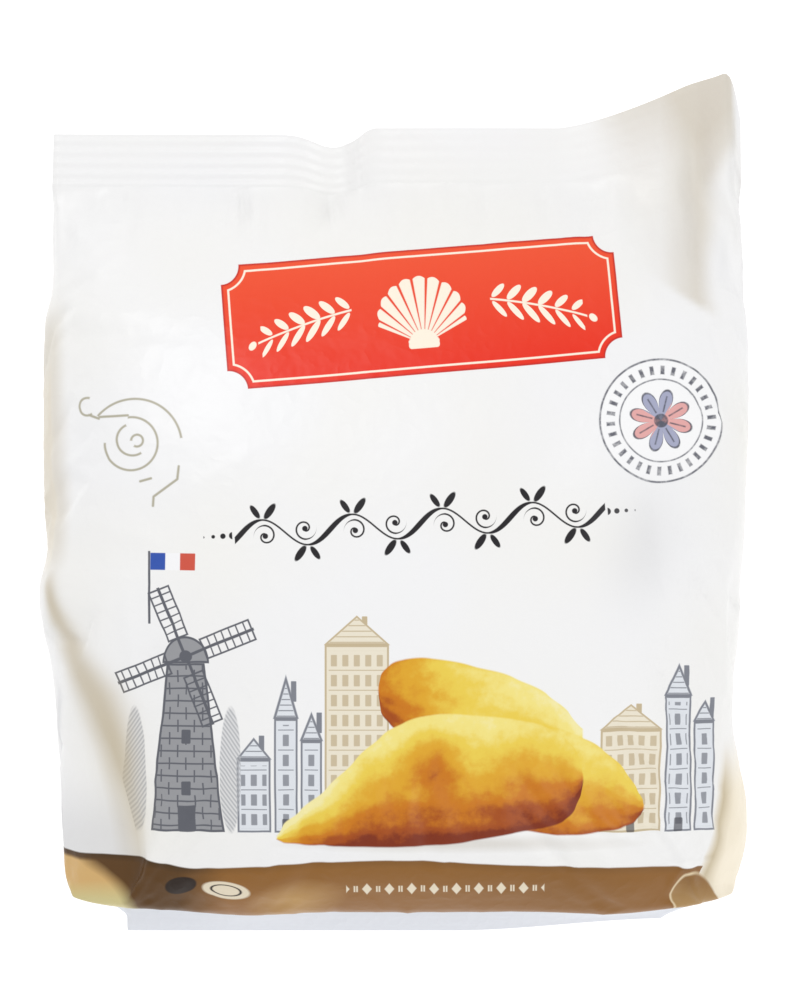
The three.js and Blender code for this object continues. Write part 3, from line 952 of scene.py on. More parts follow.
def chain(operation, values):
    result = values[0]
    for value in values[1:]:
        result = calculate(operation, result, value)
    return result


def most(*values):
    return chain("MAXIMUM", values)


def least(*values):
    return chain("MINIMUM", values)


def fade(value, start, end):  # 0 at the start and before it, 1 at the end and beyond
    result = calculate("MULTIPLY_ADD", value, 1 / (end - start), -start / (end - start))
    result.socket.node.use_clamp = True
    return result


def lengthOf(vector):
    return calculate("LENGTH", vector)


def parts(vector):
    node = addNode(vector.socket.id_data, "ShaderNodeSeparateXYZ", {0: vector})
    return [Field(part) for part in node.outputs]


def follow(field, kind, values, output=0, **settings):  # a node of another kind, in the field's tree
    return Field(addNode(field.socket.id_data, kind, values, **settings).outputs[output])


def pair(x, y):
    return follow(x, "ShaderNodeCombineXYZ", {0: x, 1: y})


def placed(point, centre, degrees=0, scale=(1, 1)):  # the point in a shape's own frame
    turn = (0, 0, math.radians(degrees))
    values = {"Vector": point, "Location": (*centre, 0), "Rotation": turn, "Scale": (*scale, 1)}
    return follow(point, "ShaderNodeMapping", values, vector_type="TEXTURE")


def noise(point, scale, detail, roughness=0.5):
    values = {"Vector": point, "Scale": scale, "Detail": detail, "Roughness": roughness}
    return follow(point, "ShaderNodeTexNoise", values, noise_dimensions="3D")


def cover(under, over, mask):
    return follow(mask, "ShaderNodeMix", {0: mask, 6: under, 7: over}, 2, data_type="RGBA")


def layered(under, *layers):  # each layer is a colour and its mask
    for over, mask in layers:
        under = cover(under, over, mask)
    return under


def ramp(value, stops, kind="EASE"):
    node = addNode(value.socket.id_data, "ShaderNodeValToRGB", {0: value})
    steps = node.color_ramp
    steps.interpolation = kind
    while len(steps.elements) < len(stops):
        steps.elements.new(1.0)
    for element, (place, colour) in zip(steps.elements, stops):
        element.position = place
        element.color = colour
    return Field(node.outputs[0])


# Shapes are distances in millimetres, less than 0 inside the shape, and ink turns them into masks.
def ink(distance, edge=0.2):
    return fade(distance, edge / 2, -edge / 2)


def stroke(value, halfWidth):  # the line where the value is 0
    return abs(value) - halfWidth


def bar(point, half, rounding):  # a rounded bar
    return lengthOf(most(abs(point) - (*half, 0), (0, 0, 0))) - rounding


def arcStroke(point, centre, radius, middle, sweep, halfWidth):  # part of a circle
    spot = placed(point, centre, middle)
    x, y, _ = parts(spot)
    ends = abs(calculate("ARCTAN2", y, x)) - math.radians(sweep)
    return most(stroke(lengthOf(spot) - radius, halfWidth), ends * radius)


def repeated(value, pitch):  # distance from the middle of the repeat that the value lies in
    return (calculate("FRACT", value / pitch) - 0.5) * pitch


def parity(value, pitch):  # 0 in each second repeat, and 1 in those between
    return calculate("FLOORED_MODULO", calculate("FLOOR", value / pitch), 2)


def makeGroup(name, inputs, output, draw):  # a node group with these sockets, which draw fills
    tree = bpy.data.node_groups.new(name, "ShaderNodeTree")
    for socket, kind in inputs.items():
        tree.interface.new_socket(socket, in_out="INPUT", socket_type=kind)
    socket, kind = output
    tree.interface.new_socket(socket, in_out="OUTPUT", socket_type=kind)
    given = addNode(tree, "NodeGroupInput").outputs
    addNode(tree, "NodeGroupOutput", {0: draw(*[Field(given[socket]) for socket in inputs])})
    return tree


plaque = {
    "centre": (6.4, 170.2), "turn": 5, "half": (54, 17.2), "scoop": 5.2,
    "lighter": (-17, 17),  # its red gets lighter from the first y to the second
    "edgeInset": 0.1, "edgeHalf": 0.35, "lineInset": 1.9, "lineHalf": 0.28,
    "shellFoot": (0, -9.2, 0), "shellReach": 18, "shellSpread": 1.12, "shellDrop": 4.4,
    "ribs": 14, "scallop": 0.9, "hinge": ((0, 0.4, 0), (3.4, 0.6), 0.8),
    "sprigMiddle": 32, "sprigHalf": 13, "sprigBow": 0.0042, "sprigRise": 3.4,
    "leafPitch": 4.3, "leafHalf": 2.5, "leafLean": 0.75, "leafTaper": 0.055, "berry": (46.6, 1.1),
    "red": tint(232, 44, 22), "orange": tint(240, 84, 48),
    "cream": tint(250, 240, 222), "edge": tint(196, 40, 28),
}


def drawPlaque(under, point):
    spot = placed(point, plaque["centre"], plaque["turn"])
    x, y, _ = parts(spot)
    corner = abs(spot) - (*plaque["half"], 0)
    cornerX, cornerY, _ = parts(corner)
    board = most(cornerX, cornerY, plaque["scoop"] - lengthOf(corner))
    red = cover(plaque["red"], plaque["orange"], fade(y, *plaque["lighter"]))
    edge = stroke(board + plaque["edgeInset"], plaque["edgeHalf"])
    line = stroke(board + plaque["lineInset"], plaque["lineHalf"])
    red = layered(red, (plaque["edge"], ink(edge, 0.5)), (plaque["cream"], ink(line)))
    colour = cover(under, red, ink(board))
    # a scallop shell: ribs that fan out from its foot
    foot = spot - plaque["shellFoot"]
    footX, footY, _ = parts(foot)
    angle, away = calculate("ARCTAN2", footX, footY), lengthOf(foot)
    rib = abs(calculate("COSINE", angle * plaque["ribs"]))
    rim = rib * plaque["scallop"] + plaque["shellReach"] - angle * angle * plaque["shellDrop"]
    shell = most(away - rim, (abs(angle) - plaque["shellSpread"]) * away)
    place, size, rounding = plaque["hinge"]
    shell = least(shell, bar(foot - place, size, rounding))
    ribs = most(ink((0.3 - rib) * (away * 0.09), 0.3), ink(away - 4.2))
    colour = cover(colour, plaque["cream"], ink(shell) * ribs)
    # a leafy sprig at each side of it
    side = abs(x)
    bow = y + (side * side * plaque["sprigBow"] - plaque["sprigRise"])
    rise = abs(bow)
    stem = most(stroke(bow, plaque["lineHalf"]), stroke(side - plaque["sprigMiddle"], plaque["sprigHalf"]))
    leafX = repeated(side - rise * plaque["leafLean"], plaque["leafPitch"])
    taper = plaque["leafHalf"] - abs(side - 30) * plaque["leafTaper"]
    leaf = lengthOf(pair(leafX * 1.9, rise - plaque["leafHalf"])) - taper
    leaves = most(leaf, stroke(side - (plaque["sprigMiddle"] - 0.5), plaque["sprigHalf"] - 0.4))
    place, radius = plaque["berry"]
    berry = lengthOf(pair(side - place, bow)) - radius
    return cover(colour, plaque["cream"], ink(least(stem, leaves, berry)))


vine = {
    "centre": (6, 112.4), "turn": 3.7, "bends": 8, "bend": 12.2, "swing": 3.7, "thin": 0.24, "thick": 0.5,
    "coil": (0.7, -0.7, 0), "coilPitch": 2.3, "coilReach": 3.1, "bead": 0.75,
    # where each leaf lies, how it is turned, and half its length and width
    "leaves": [((2.3, 5.9), 52, (2.5, 0.95)), ((-1.7, 6.0), 122, (2.1, 0.8))],
    "dotPitch": 2.6, "black": tint(30, 28, 32),
}


def drawVine(under, point):
    spot = placed(point, vine["centre"], vine["turn"])
    x, y, _ = parts(spot)
    bend, swing = vine["bend"], vine["swing"]
    half = bend * vine["bends"] / 2
    phase = x * (math.pi / bend)
    slope = calculate("COSINE", phase)
    steep = calculate("SQRT", slope * slope * (swing * math.pi / bend) ** 2 + 1)
    off = abs(y - calculate("SINE", phase) * swing) / steep
    weight = most(slope, 0) * vine["thick"] + vine["thin"]  # thick up, thin down
    stem = most(off - weight, stroke(x, half + 1.5))
    # inside each bend a tendril curls up, and outside it stand two leaves; every second bend is upside down
    flip = 1 - parity(x, bend) * 2
    spot = pair(repeated(x, bend) * flip, y * flip)
    curl = spot - vine["coil"]
    curlX, curlY, _ = parts(curl)
    away, pitch = lengthOf(curl), vine["coilPitch"]
    turn = calculate("ARCTAN2", curlY, curlX) * (-pitch / (2 * math.pi)) + away
    coil = stroke(repeated(turn + pitch / 2, pitch), vine["thin"])
    coil = least(most(coil, away - vine["coilReach"]), away - vine["bead"])
    leaves = [lengthOf(placed(spot, *leaf)) - 1 for leaf in vine["leaves"]]
    inner = most(least(coil, *leaves), stroke(x, half))
    # three dots fade out at each end
    side = abs(x) - (half + 6)
    dots = lengthOf(pair(repeated(side, vine["dotPitch"]), y)) - (0.62 - side * 0.09)
    dots = most(dots, stroke(side, 1.5 * vine["dotPitch"]))
    return cover(under, vine["black"], ink(least(stem, inner, dots)))


stamp = {
    "centre": (71.5, 140.4), "turn": -14, "outer": 16.6, "inner": 11.2,
    "outerHalf": 0.26, "innerHalf": 0.19,
    "ticks": 30, "tickMiddle": 13.7, "tickHalf": 1.15, "tickWide": 0.52,
    "petals": 8, "petalFoot": 2.2, "petalLong": 6.2, "petalRim": 0.3, "petalTint": 0.62, "heart": 1.9,
    "veinHalf": 0.2, "vein": (4.6, 2.2),  # its middle, and half its length
    "wear": (0.2647, 0.5588),
    "grey": tint(84, 86, 98), "blue": tint(62, 78, 150),
    "red": tint(214, 78, 64), "paper": tint(246, 246, 247),
}


def drawStamp(under, point):
    spot = placed(point, stamp["centre"], stamp["turn"])
    x, y, _ = parts(spot)
    away, angle = lengthOf(spot), calculate("ARCTAN2", y, x)
    colour = cover(under, stamp["paper"], ink(away - stamp["outer"]))
    rings = [stroke(away - stamp[ring], stamp[ring + "Half"]) for ring in ("outer", "inner")]
    tick = stroke(repeated(angle, 2 * math.pi / stamp["ticks"]) * away, stamp["tickWide"])
    tick = most(tick, stroke(away - stamp["tickMiddle"], stamp["tickHalf"]))
    # a rosette, drawn as outlines
    turn = math.pi / stamp["petals"]
    petal = abs(calculate("COSINE", angle * (stamp["petals"] / 2)))
    rim = away - (calculate("SQRT", petal) * stamp["petalLong"] + stamp["petalFoot"])
    vein = stroke(repeated(angle + turn, 2 * turn) * away, stamp["veinHalf"])
    middle, half = stamp["vein"]
    vein = most(vein, stroke(away - middle, half))
    lines = least(*rings, tick, stroke(rim, stamp["petalRim"]), vein, away - stamp["heart"])
    turned = calculate("GREATER_THAN", calculate("SINE", angle * 2 + 0.6), 0)
    petals = cover(stamp["blue"], stamp["red"], turned)
    colour = cover(colour, petals, ink(rim) * stamp["petalTint"])
    worn = fade(noise(spot, 0.45, 3, 0.7), *stamp["wear"])
    return cover(colour, stamp["grey"], ink(lines, 0.3) * (worn * 0.55 + 0.4))


scroll = {
    "ink": tint(176, 171, 152), "halfWidth": 0.3,
    # centre, radius, where the middle of the arc points, and half of its sweep, in degrees
    "arcs": [
        ((-72.3, 134.0), 7.2, -42, 140), ((-71.9, 135.1), 4.3, 209, 94), ((-70.7, 134.8), 1.6, 30, 150),
        ((-71.5, 133.2), 13.0, 75, 65), ((-84.5, 144.2), 2.4, 190, 115),
    ],
    "dashes": [
        ((-77.2, 141.5), 3, 3.9), ((-82.6, 141.4), -20, 1.5), ((-59.5, 126.1), 84, 1.7),
        ((-62.9, 122.0), 36, 3.9), ((-66.2, 118.4), 86, 1.2), ((-68.3, 124.2), 15, 1.5),
    ],
}


def drawScroll(under, point):
    arcs = [arcStroke(point, *arc, scroll["halfWidth"]) for arc in scroll["arcs"]]
    dashes = [bar(placed(point, centre, turn), (half, 0), 0.32) for centre, turn, half in scroll["dashes"]]
    return cover(under, scroll["ink"], ink(least(*arcs, *dashes), 0.35))


village = {
    "ground": 28.6, "line": 0.26, "storey": 5.4, "windowPitch": 3.1, "window": (0.62, 1.35),
    "door": (0.7, 1.5), "tilePitch": 1.5, "tileHalf": 0.14, "floorHalf": 0.12,
    "chimney": (0.55, 2.6), "chimneyPlace": (2.1, 0), "windowTint": 0.85, "doorTint": 0.8,
    "grey": tint(128, 131, 140), "beige": tint(196, 179, 147), "dark": tint(72, 72, 80),
    "greyWall": tint(222, 226, 232), "beigeWall": tint(233, 225, 206),
    # left and right edges, wall height, roof height, 0 grey or 1 beige
    "houses": [
        (-43.5, -34.4, 20, 6, 0), (-33.5, -27.1, 31, 12, 0), (-26.3, -20.5, 25, 8, 0),
        (-19.8, -2.4, 51, 8, 1), (54.6, 71.4, 28, 7, 1), (72.6, 80.0, 37, 9, 0), (80.8, 87.0, 30, 6, 0),
    ],
    "span": (-44.2, 87.8),
}


def drawVillage(under, point):
    first, last = village["span"]
    x, y, _ = parts(point - (0, village["ground"], 0))
    place = fade(x, first, last)
    # two ramps with steps hold the measures of the house at each x, as shares
    empty = (0, 0, 0, 1)
    shapeStops, styleStops = [(0, empty)], [(0, empty)]
    for n, (left, right, wall, roof, tone) in enumerate(village["houses"]):
        start = (left - 0.4 - first) / (last - first)
        shapeStops.append((start, ((left + right) / 400 + 0.5, (right - left) / 200, wall / 100, 1)))
        styleStops.append((start, (roof / 100, tone, (n % 3) / 2, 1)))
        if n + 1 < len(village["houses"]) and village["houses"][n + 1][0] - right > 5:
            gap = (right + 0.4 - first) / (last - first)
            shapeStops.append((gap, empty))
            styleStops.append((gap, empty))
    middle, half, wall = parts(ramp(place, shapeStops, "CONSTANT") * (200, 100, 100) - (100, 0, 0))
    roof, tone, kind = parts(ramp(place, styleStops, "CONSTANT") * (100, 1, 1))
    fromMiddle, overWall = x - middle, y - wall
    side, line = abs(fromMiddle), village["line"]
    slopes = (side - (1 - overWall / roof) * (half + 0.3)) * 0.75
    gable = most(slopes, -overWall)
    onRoof = placed(pair(fromMiddle, overWall - roof * 0.62), village["chimneyPlace"])
    chimney = bar(onRoof, village["chimney"], 0.2)
    house = least(most(side - half, overWall, -y), gable, chimney)
    eave = most(stroke(overWall, line), side - half)
    # rows of windows, and roof tiles
    inWall = most(side - half + 1.1, overWall + 1.6, 1.2 - y)
    pitch, storey = village["windowPitch"], village["storey"]
    pane = pair(repeated(fromMiddle + pitch / 2, pitch), repeated(y - 0.9, storey))
    window = most(bar(pane, village["window"], 0.2), inWall)
    floors = most(stroke(repeated(y + 1.7, storey), village["floorHalf"]), inWall)
    tiles = stroke(repeated(overWall, village["tilePitch"]), village["tileHalf"])
    tiles = most(tiles, gable + 0.6)
    door = most(bar(pair(fromMiddle, y - 1.9), village["door"], 0.4), 0.4 - kind)
    sketch = least(stroke(house + 0.28, line), eave, floors, tiles)
    isThere = calculate("GREATER_THAN", half, 0.5)
    drawing = cover(village["grey"], village["beige"], tone)
    fill = cover(village["greyWall"], village["beigeWall"], tone)
    return layered(
        under, (fill, ink(house) * isThere), (drawing, ink(sketch) * isThere),
        (drawing, ink(window) * isThere * village["windowTint"]),
        (village["dark"], ink(door) * isThere * village["doorTint"]),
    )


mill = {
    "foot": (-57.5, 28.6), "height": 46.0, "footHalf": 10.5, "topHalf": 5.2, "cap": 7.4,
    "course": 3.4, "brick": 4.6, "jointHalf": (0.22, 0.2), "capSlim": 1.15,
    "door": ((0, 3.6, 0), (1.9, 3.2), 0.5), "windows": ((19, 7), (0.9, 1.5), 0.4),
    # the x between the poplars, the middle of one, and the inverse of its half size
    "poplars": (-1.0, (13.2, 17, 0), (1 / 2.9, 1 / 17, 0)), "branches": (1.5, 0.36),
    "hub": (-57.5, 76.5), "hubRadius": 1.7, "sail": 20.0, "sailTurn": 22, "sailHalf": 3.1,
    "armHalf": 0.42, "cloth": (12.4, 7.3), "lattice": (2.1, 0.2),  # middle and half length; pitch and half
    "mast": ((-67.3, 95.2), (0.12, 9.6)), "flag": ((-60.9, 102.1), -1, (5.9, 2.1)), "stripe": 2.0,
    "stone": tint(152, 153, 157), "line": tint(96, 98, 106), "poplar": tint(176, 178, 182),
    "blue": tint(50, 84, 172), "red": tint(206, 84, 66), "white": tint(244, 244, 246),
}


def drawMill(under, point):
    spot = placed(point, mill["foot"])
    x, y, _ = parts(spot)
    side = abs(x)
    overTop = y - mill["height"]
    half = y / mill["height"] * (mill["topHalf"] - mill["footHalf"]) + mill["footHalf"]
    tower = most(side - half, -y, overTop)
    cap = most(lengthOf(pair(x * mill["capSlim"], overTop)) - mill["cap"], -overTop)
    whole = least(tower, cap)
    bricks = x + parity(y, mill["course"]) * (mill["brick"] / 2)
    level, upright = mill["jointHalf"]
    joints = stroke(repeated(y, mill["course"]), level)
    joints = least(joints, stroke(repeated(bricks, mill["brick"]), upright))
    # poplars behind it, as tall narrow leaves of close strokes
    halfway, middle, size = mill["poplars"]
    tree = (pair(abs(x - halfway), y) - middle) * size
    poplar = (lengthOf(tree) - 1) * 2.4
    pitch, half = mill["branches"]
    branches = stroke(repeated(y + side * 1.4, pitch), half)
    leaves = ink(poplar) * (ink(branches) * 0.5 + 0.4)
    place, size, rounding = mill["door"]
    door = bar(spot - place, size, rounding)
    (middle, apart), size, rounding = mill["windows"]
    windows = bar(pair(x, stroke(y - middle, apart)), size, rounding)
    drawing = least(stroke(whole + 0.3, 0.3), most(joints, tower + 0.5), door, windows)
    # four lattice sails
    hub = placed(point, mill["hub"], mill["sailTurn"])
    hubX, hubY, _ = parts(abs(hub))
    far, near = most(hubX, hubY), least(hubX, hubY)
    arm = most(near - mill["armHalf"], far - mill["sail"])
    middle, half = mill["cloth"]
    cloth = most(near - mill["sailHalf"], stroke(far - middle, half))
    pitch, half = mill["lattice"]
    lattice = least(stroke(cloth + 0.25, 0.25), most(cloth, stroke(repeated(far, pitch), half)))
    sails = least(arm, lattice, lengthOf(hub) - mill["hubRadius"])
    # a small flag of three upright stripes on a mast
    place, size = mill["mast"]
    mast = bar(placed(point, place), size, 0.2)
    *place, size = mill["flag"]
    flag = placed(point, *place)
    across, _, _ = parts(flag)
    cloth = ink(bar(flag, size, 0.2))
    return layered(
        under, (mill["poplar"], leaves), (mill["stone"], ink(whole)),
        (mill["line"], ink(drawing)), (mill["line"], ink(sails)), (mill["line"], ink(mast)),
        (mill["white"], cloth), (mill["blue"], cloth * ink(across + mill["stripe"])),
        (mill["red"], cloth * ink(mill["stripe"] - across)),
    )


cakes = {
    # x, top, bottom and how light it is there; the first lies at the back
    "outlines": [
        (0.3, [
            (-5.4, 68, 67, 0.26), (-4.6, 71.6, 61.5, 0.28), (-2, 74.4, 58, 0.34), (2, 75.8, 55, 0.42),
            (9, 76, 52, 0.56), (20, 74, 50, 0.72), (31, 71, 50, 0.78), (40, 66.6, 50, 0.82),
            (46, 61.6, 50, 0.84), (50, 56.8, 50, 0.84),
        ]),
        (0.6, [
            (30, 50, 30, 0.55), (38, 57, 28.3, 0.6), (48, 55.4, 27.9, 0.62), (55, 51.6, 28.7, 0.6),
            (60.6, 46.4, 29.8, 0.57), (64.4, 41, 31.3, 0.5), (66.2, 37.6, 33, 0.38),
            (66.8, 35.6, 34.6, 0.28),
        ]),
        (0.95, [
            (-33, 27.6, 26.8, 0.86), (-31, 31, 25.7, 0.88), (-26, 35.4, 25.2, 0.8), (-19, 41.2, 24.9, 0.68),
            (-11.6, 48.4, 24.7, 0.59), (-4.6, 54.8, 24.6, 0.58), (2, 58.8, 24.7, 0.58), (10, 60.8, 25, 0.58),
            (20, 60.6, 26.2, 0.58), (31, 59.6, 28.3, 0.57), (39.4, 57.8, 29.6, 0.54),
            (44.8, 54.9, 31.6, 0.49), (48, 51.2, 35, 0.43), (49.7, 47.6, 39.2, 0.37),
            (50.2, 44.6, 42.6, 0.32),
        ]),
    ],
    "hump": ((9.4, 47.6), -10, (8.4, 7.4)),  # where the big one is browned, its turn, and how far
    "ribs": 26, "ribLean": 7, "ribDepth": 0.05, "grain": 0.26, "patches": 0.34, "rimDark": 0.1,
    "browning": 0.32,
    "crumb": [
        (0.0, tint(126, 44, 8)), (0.13, tint(164, 76, 14)), (0.3, tint(202, 120, 18)),
        (0.5, tint(222, 166, 42)), (0.7, tint(234, 205, 80)), (0.88, tint(241, 225, 132)),
        (1.0, tint(243, 233, 168)),
    ],
    "shade": tint(222, 219, 214), "shadeSpot": ((16, 25.4), 0, (50, 2.6)), "shadeFade": (1.0833, 0.25),
}


def drawCakes(under, point):
    x, y, _ = parts(point)
    shadow = lengthOf(placed(point, *cakes["shadeSpot"]))
    colour = cover(under, cakes["shade"], fade(shadow, *cakes["shadeFade"]))
    grain, patches = noise(point, 0.3, 3, 0.62), noise(point, 0.07, 1)
    mottle = (grain - 0.5) * cakes["grain"] + (patches - 0.5) * cakes["patches"]
    browned = fade(lengthOf(placed(point, *cakes["hump"])), 1 / 0.7, 0)
    for slope, outline in cakes["outlines"]:
        first, last = outline[0][0], outline[-1][0]
        place = fade(x, first, last)
        stops = [((a - first) / (last - first), (b / 100, c / 100, light, 1)) for a, b, c, light in outline]
        top, low, light = parts(ramp(place, stops, "CARDINAL") * (100, 100, 1))
        up = (y - low) / (top - low)
        ends = stroke(x - (first + last) / 2, (last - first) / 2) + 0.1
        inside = ink(most(y - top, low - y, ends), 0.5)
        # lit from above, browned below and along its rim, with shallow ribs that show most low down
        rib = calculate("SINE", up * cakes["ribs"] + place * cakes["ribLean"])
        rim = calculate("POWER", abs(up * 2 - 1), 12)
        depth = fade(up, 0.9, -0.1) * cakes["ribDepth"]
        tone = up * slope + (light - 0.6 * slope) + rib * depth
        tone = tone - rim * cakes["rimDark"] + mottle
        if outline is cakes["outlines"][-1][1]:
            tone = tone - browned * cakes["browning"]
        colour = cover(colour, ramp(tone, cakes["crumb"]), inside)
    return colour


bandMarks = {
    "row": ((12.9, 12.6), 0.4), "half": 27.0, "pitch": 6.1, "diamond": 1.35, "dash": (2.7, 0.22, 0.9),
    "darkOval": ((-59.6, 13.2), 12, (4.4, 2.5)), "paleOval": ((-47, 12), -8, (6.6, 2.5)), "ring": 0.62,
    "cream": tint(226, 214, 190), "dark": tint(38, 24, 14),
}


def drawBandMarks(under, point):
    x, y, _ = parts(placed(point, *bandMarks["row"]))
    across = abs(repeated(x, bandMarks["pitch"]))
    place, wide, tall = bandMarks["dash"]
    dash = most(stroke(across - place, wide), stroke(y, tall))
    diamond = (abs(y) * 0.8 + across - bandMarks["diamond"]) * 0.7
    row = most(least(diamond, dash), stroke(x, bandMarks["half"]))
    dark, pale = [lengthOf(placed(point, *bandMarks[name])) for name in ("darkOval", "paleOval")]
    return layered(
        under, (bandMarks["cream"], ink(row)),
        (bandMarks["dark"], ink((dark - 1) * 3, 0.4)), (bandMarks["cream"], ink((pale - 1) * 3, 0.4)),
        (bandMarks["dark"], ink(stroke((pale - bandMarks["ring"]) * 3, 0.16))),
    )


foldedCorner = {
    "centre": (81.3, 7.4), "half": (6.3, 9.2), "rimHalf": 0.26,
    # as shares of half: the y over which painted shade darkens the pocket upwards, and the x over which its
    # rim fades in
    "darker": (-1 / 11, 9 / 11), "rimFade": (0.75, -1 / 12),
    "brown": tint(140, 100, 50), "low": tint(176, 142, 92), "rim": tint(232, 214, 178),
}


def drawFoldedCorner(under, point):  # the small pocket at the bottom right, darkening upwards with painted shade, with its pale rim
    spot = placed(point, foldedCorner["centre"], 0, foldedCorner["half"])
    x, y, _ = parts(spot)
    arch = (lengthOf(spot) - 1) * 7
    brown = cover(foldedCorner["low"], foldedCorner["brown"], fade(y, *foldedCorner["darker"]))
    colour = cover(under, brown, ink(arch, 0.6))
    rim = ink(stroke(arch, foldedCorner["rimHalf"]), 0.6) * fade(x, *foldedCorner["rimFade"])
    return cover(colour, foldedCorner["rim"], rim)


def drawCrinkle(point, size):  # the film's small ripples, between its creases, in millimetres
    ridge = abs(noise(point / size, 2.2, 2, 0.45) - 0.5)
    return 0.3 - ridge * 0.5


filmLook = {
    # grey is a painted shade for the film's folds and edges
    "white": tint(241, 241, 242), "warm": tint(240, 239, 235), "grey": tint(205, 205, 208),
    # creamAndShade is the darker cream, which also carries painted shade
    "cream": tint(243, 233, 212), "creamAndShade": tint(186, 170, 136), "finPaintedShade": tint(224, 227, 234),
    # bandLit is painted light: the band's sheen patch and its lit corner
    "band": tint(143, 97, 42), "bandLit": tint(210, 172, 112), "bandPale": tint(206, 194, 140),
    "bandDark": tint(90, 60, 24), "bandRim": tint(74, 50, 20),
    "paintedLitCorner": ((-79, 15), -50), "bandSheenPatch": ((-28, 9), 10, (15, 6)),
    "bandTop": 0.155, "bandFoot": 0.046, "bandScale": 220,  # its edges' r, and millimetres for each r
    "darkLeft": (-46.2, -60.2),  # it darkens between these x
    "edgeShade": (-1 / 0.45, 0), "rimMiddle": 0.4, "rimFade": (1 / 0.6, 0),  # millimetres from its edge
    "paleFade": (14.5, 9.5),  # the u over which the painted lit corner gets paler
    "goldFade": (1.125, 2.375),  # how far below the top edge it begins
    "rightGap": (60, 40),  # the right gusset has no band from this x, up to this far out
    "cornerReach": 24,  # how far out on a gusset the folded corner's print begins
    "mottleScale": 0.018, "mottle": (0.375, 0.79167),
    "roughness": 0.42, "coat": 0.04, "coatRoughness": 0.22, "ior": 1.34, "crinkleSize": 17.0,
}
prints = {
    "scroll": drawScroll, "village": drawVillage, "mill": drawMill, "cakes": drawCakes, "stamp": drawStamp,
    "vine": drawVine, "plaque": drawPlaque, "bandMarks": drawBandMarks, "foldedCorner": drawFoldedCorner,
}
# The front's faces take their material by where they lie, so that each draws only the prints that reach it.
# From x, to x, from u, to u, and the prints.
zones = {
    "filmTop": (-200, 200, 157.8, 400, ["plaque"]),
    "filmMiddleLeft": (-200, -54.6, 106, 157.8, ["scroll"]),
    "filmMiddle": (-54.6, 200, 101.4, 157.8, ["stamp", "vine", "plaque"]),
    "filmLowLeft": (-200, -54.6, -50, 106, ["mill"]),
    "filmLowMiddle": (-54.6, -35.0, -50, 101.4, ["village", "mill"]),
    "filmLow": (-35.0, 200, -50, 101.4, ["village", "cakes"]),
}


def makeGroups():
    sockets = {"Under": "NodeSocketColor", "Point": "NodeSocketVector"}
    colour = ("Colour", "NodeSocketColor")
    groups = {name: makeGroup(name + "Print", sockets, colour, draw) for name, draw in prints.items()}
    sockets = {"Point": "NodeSocketVector", "Size": "NodeSocketFloat"}
    groups["crinkle"] = makeGroup("filmCrinkle", sockets, ("Height", "NodeSocketFloat"), drawCrinkle)
    return groups


def newMaterial(name):
    material = bpy.data.materials.new(name)
    material.use_nodes = True
    return material


def setShader(material, values):
    shader = material.node_tree.nodes["Principled BSDF"]
    for name, value in values.items():
        feed(shader.inputs[name], value)


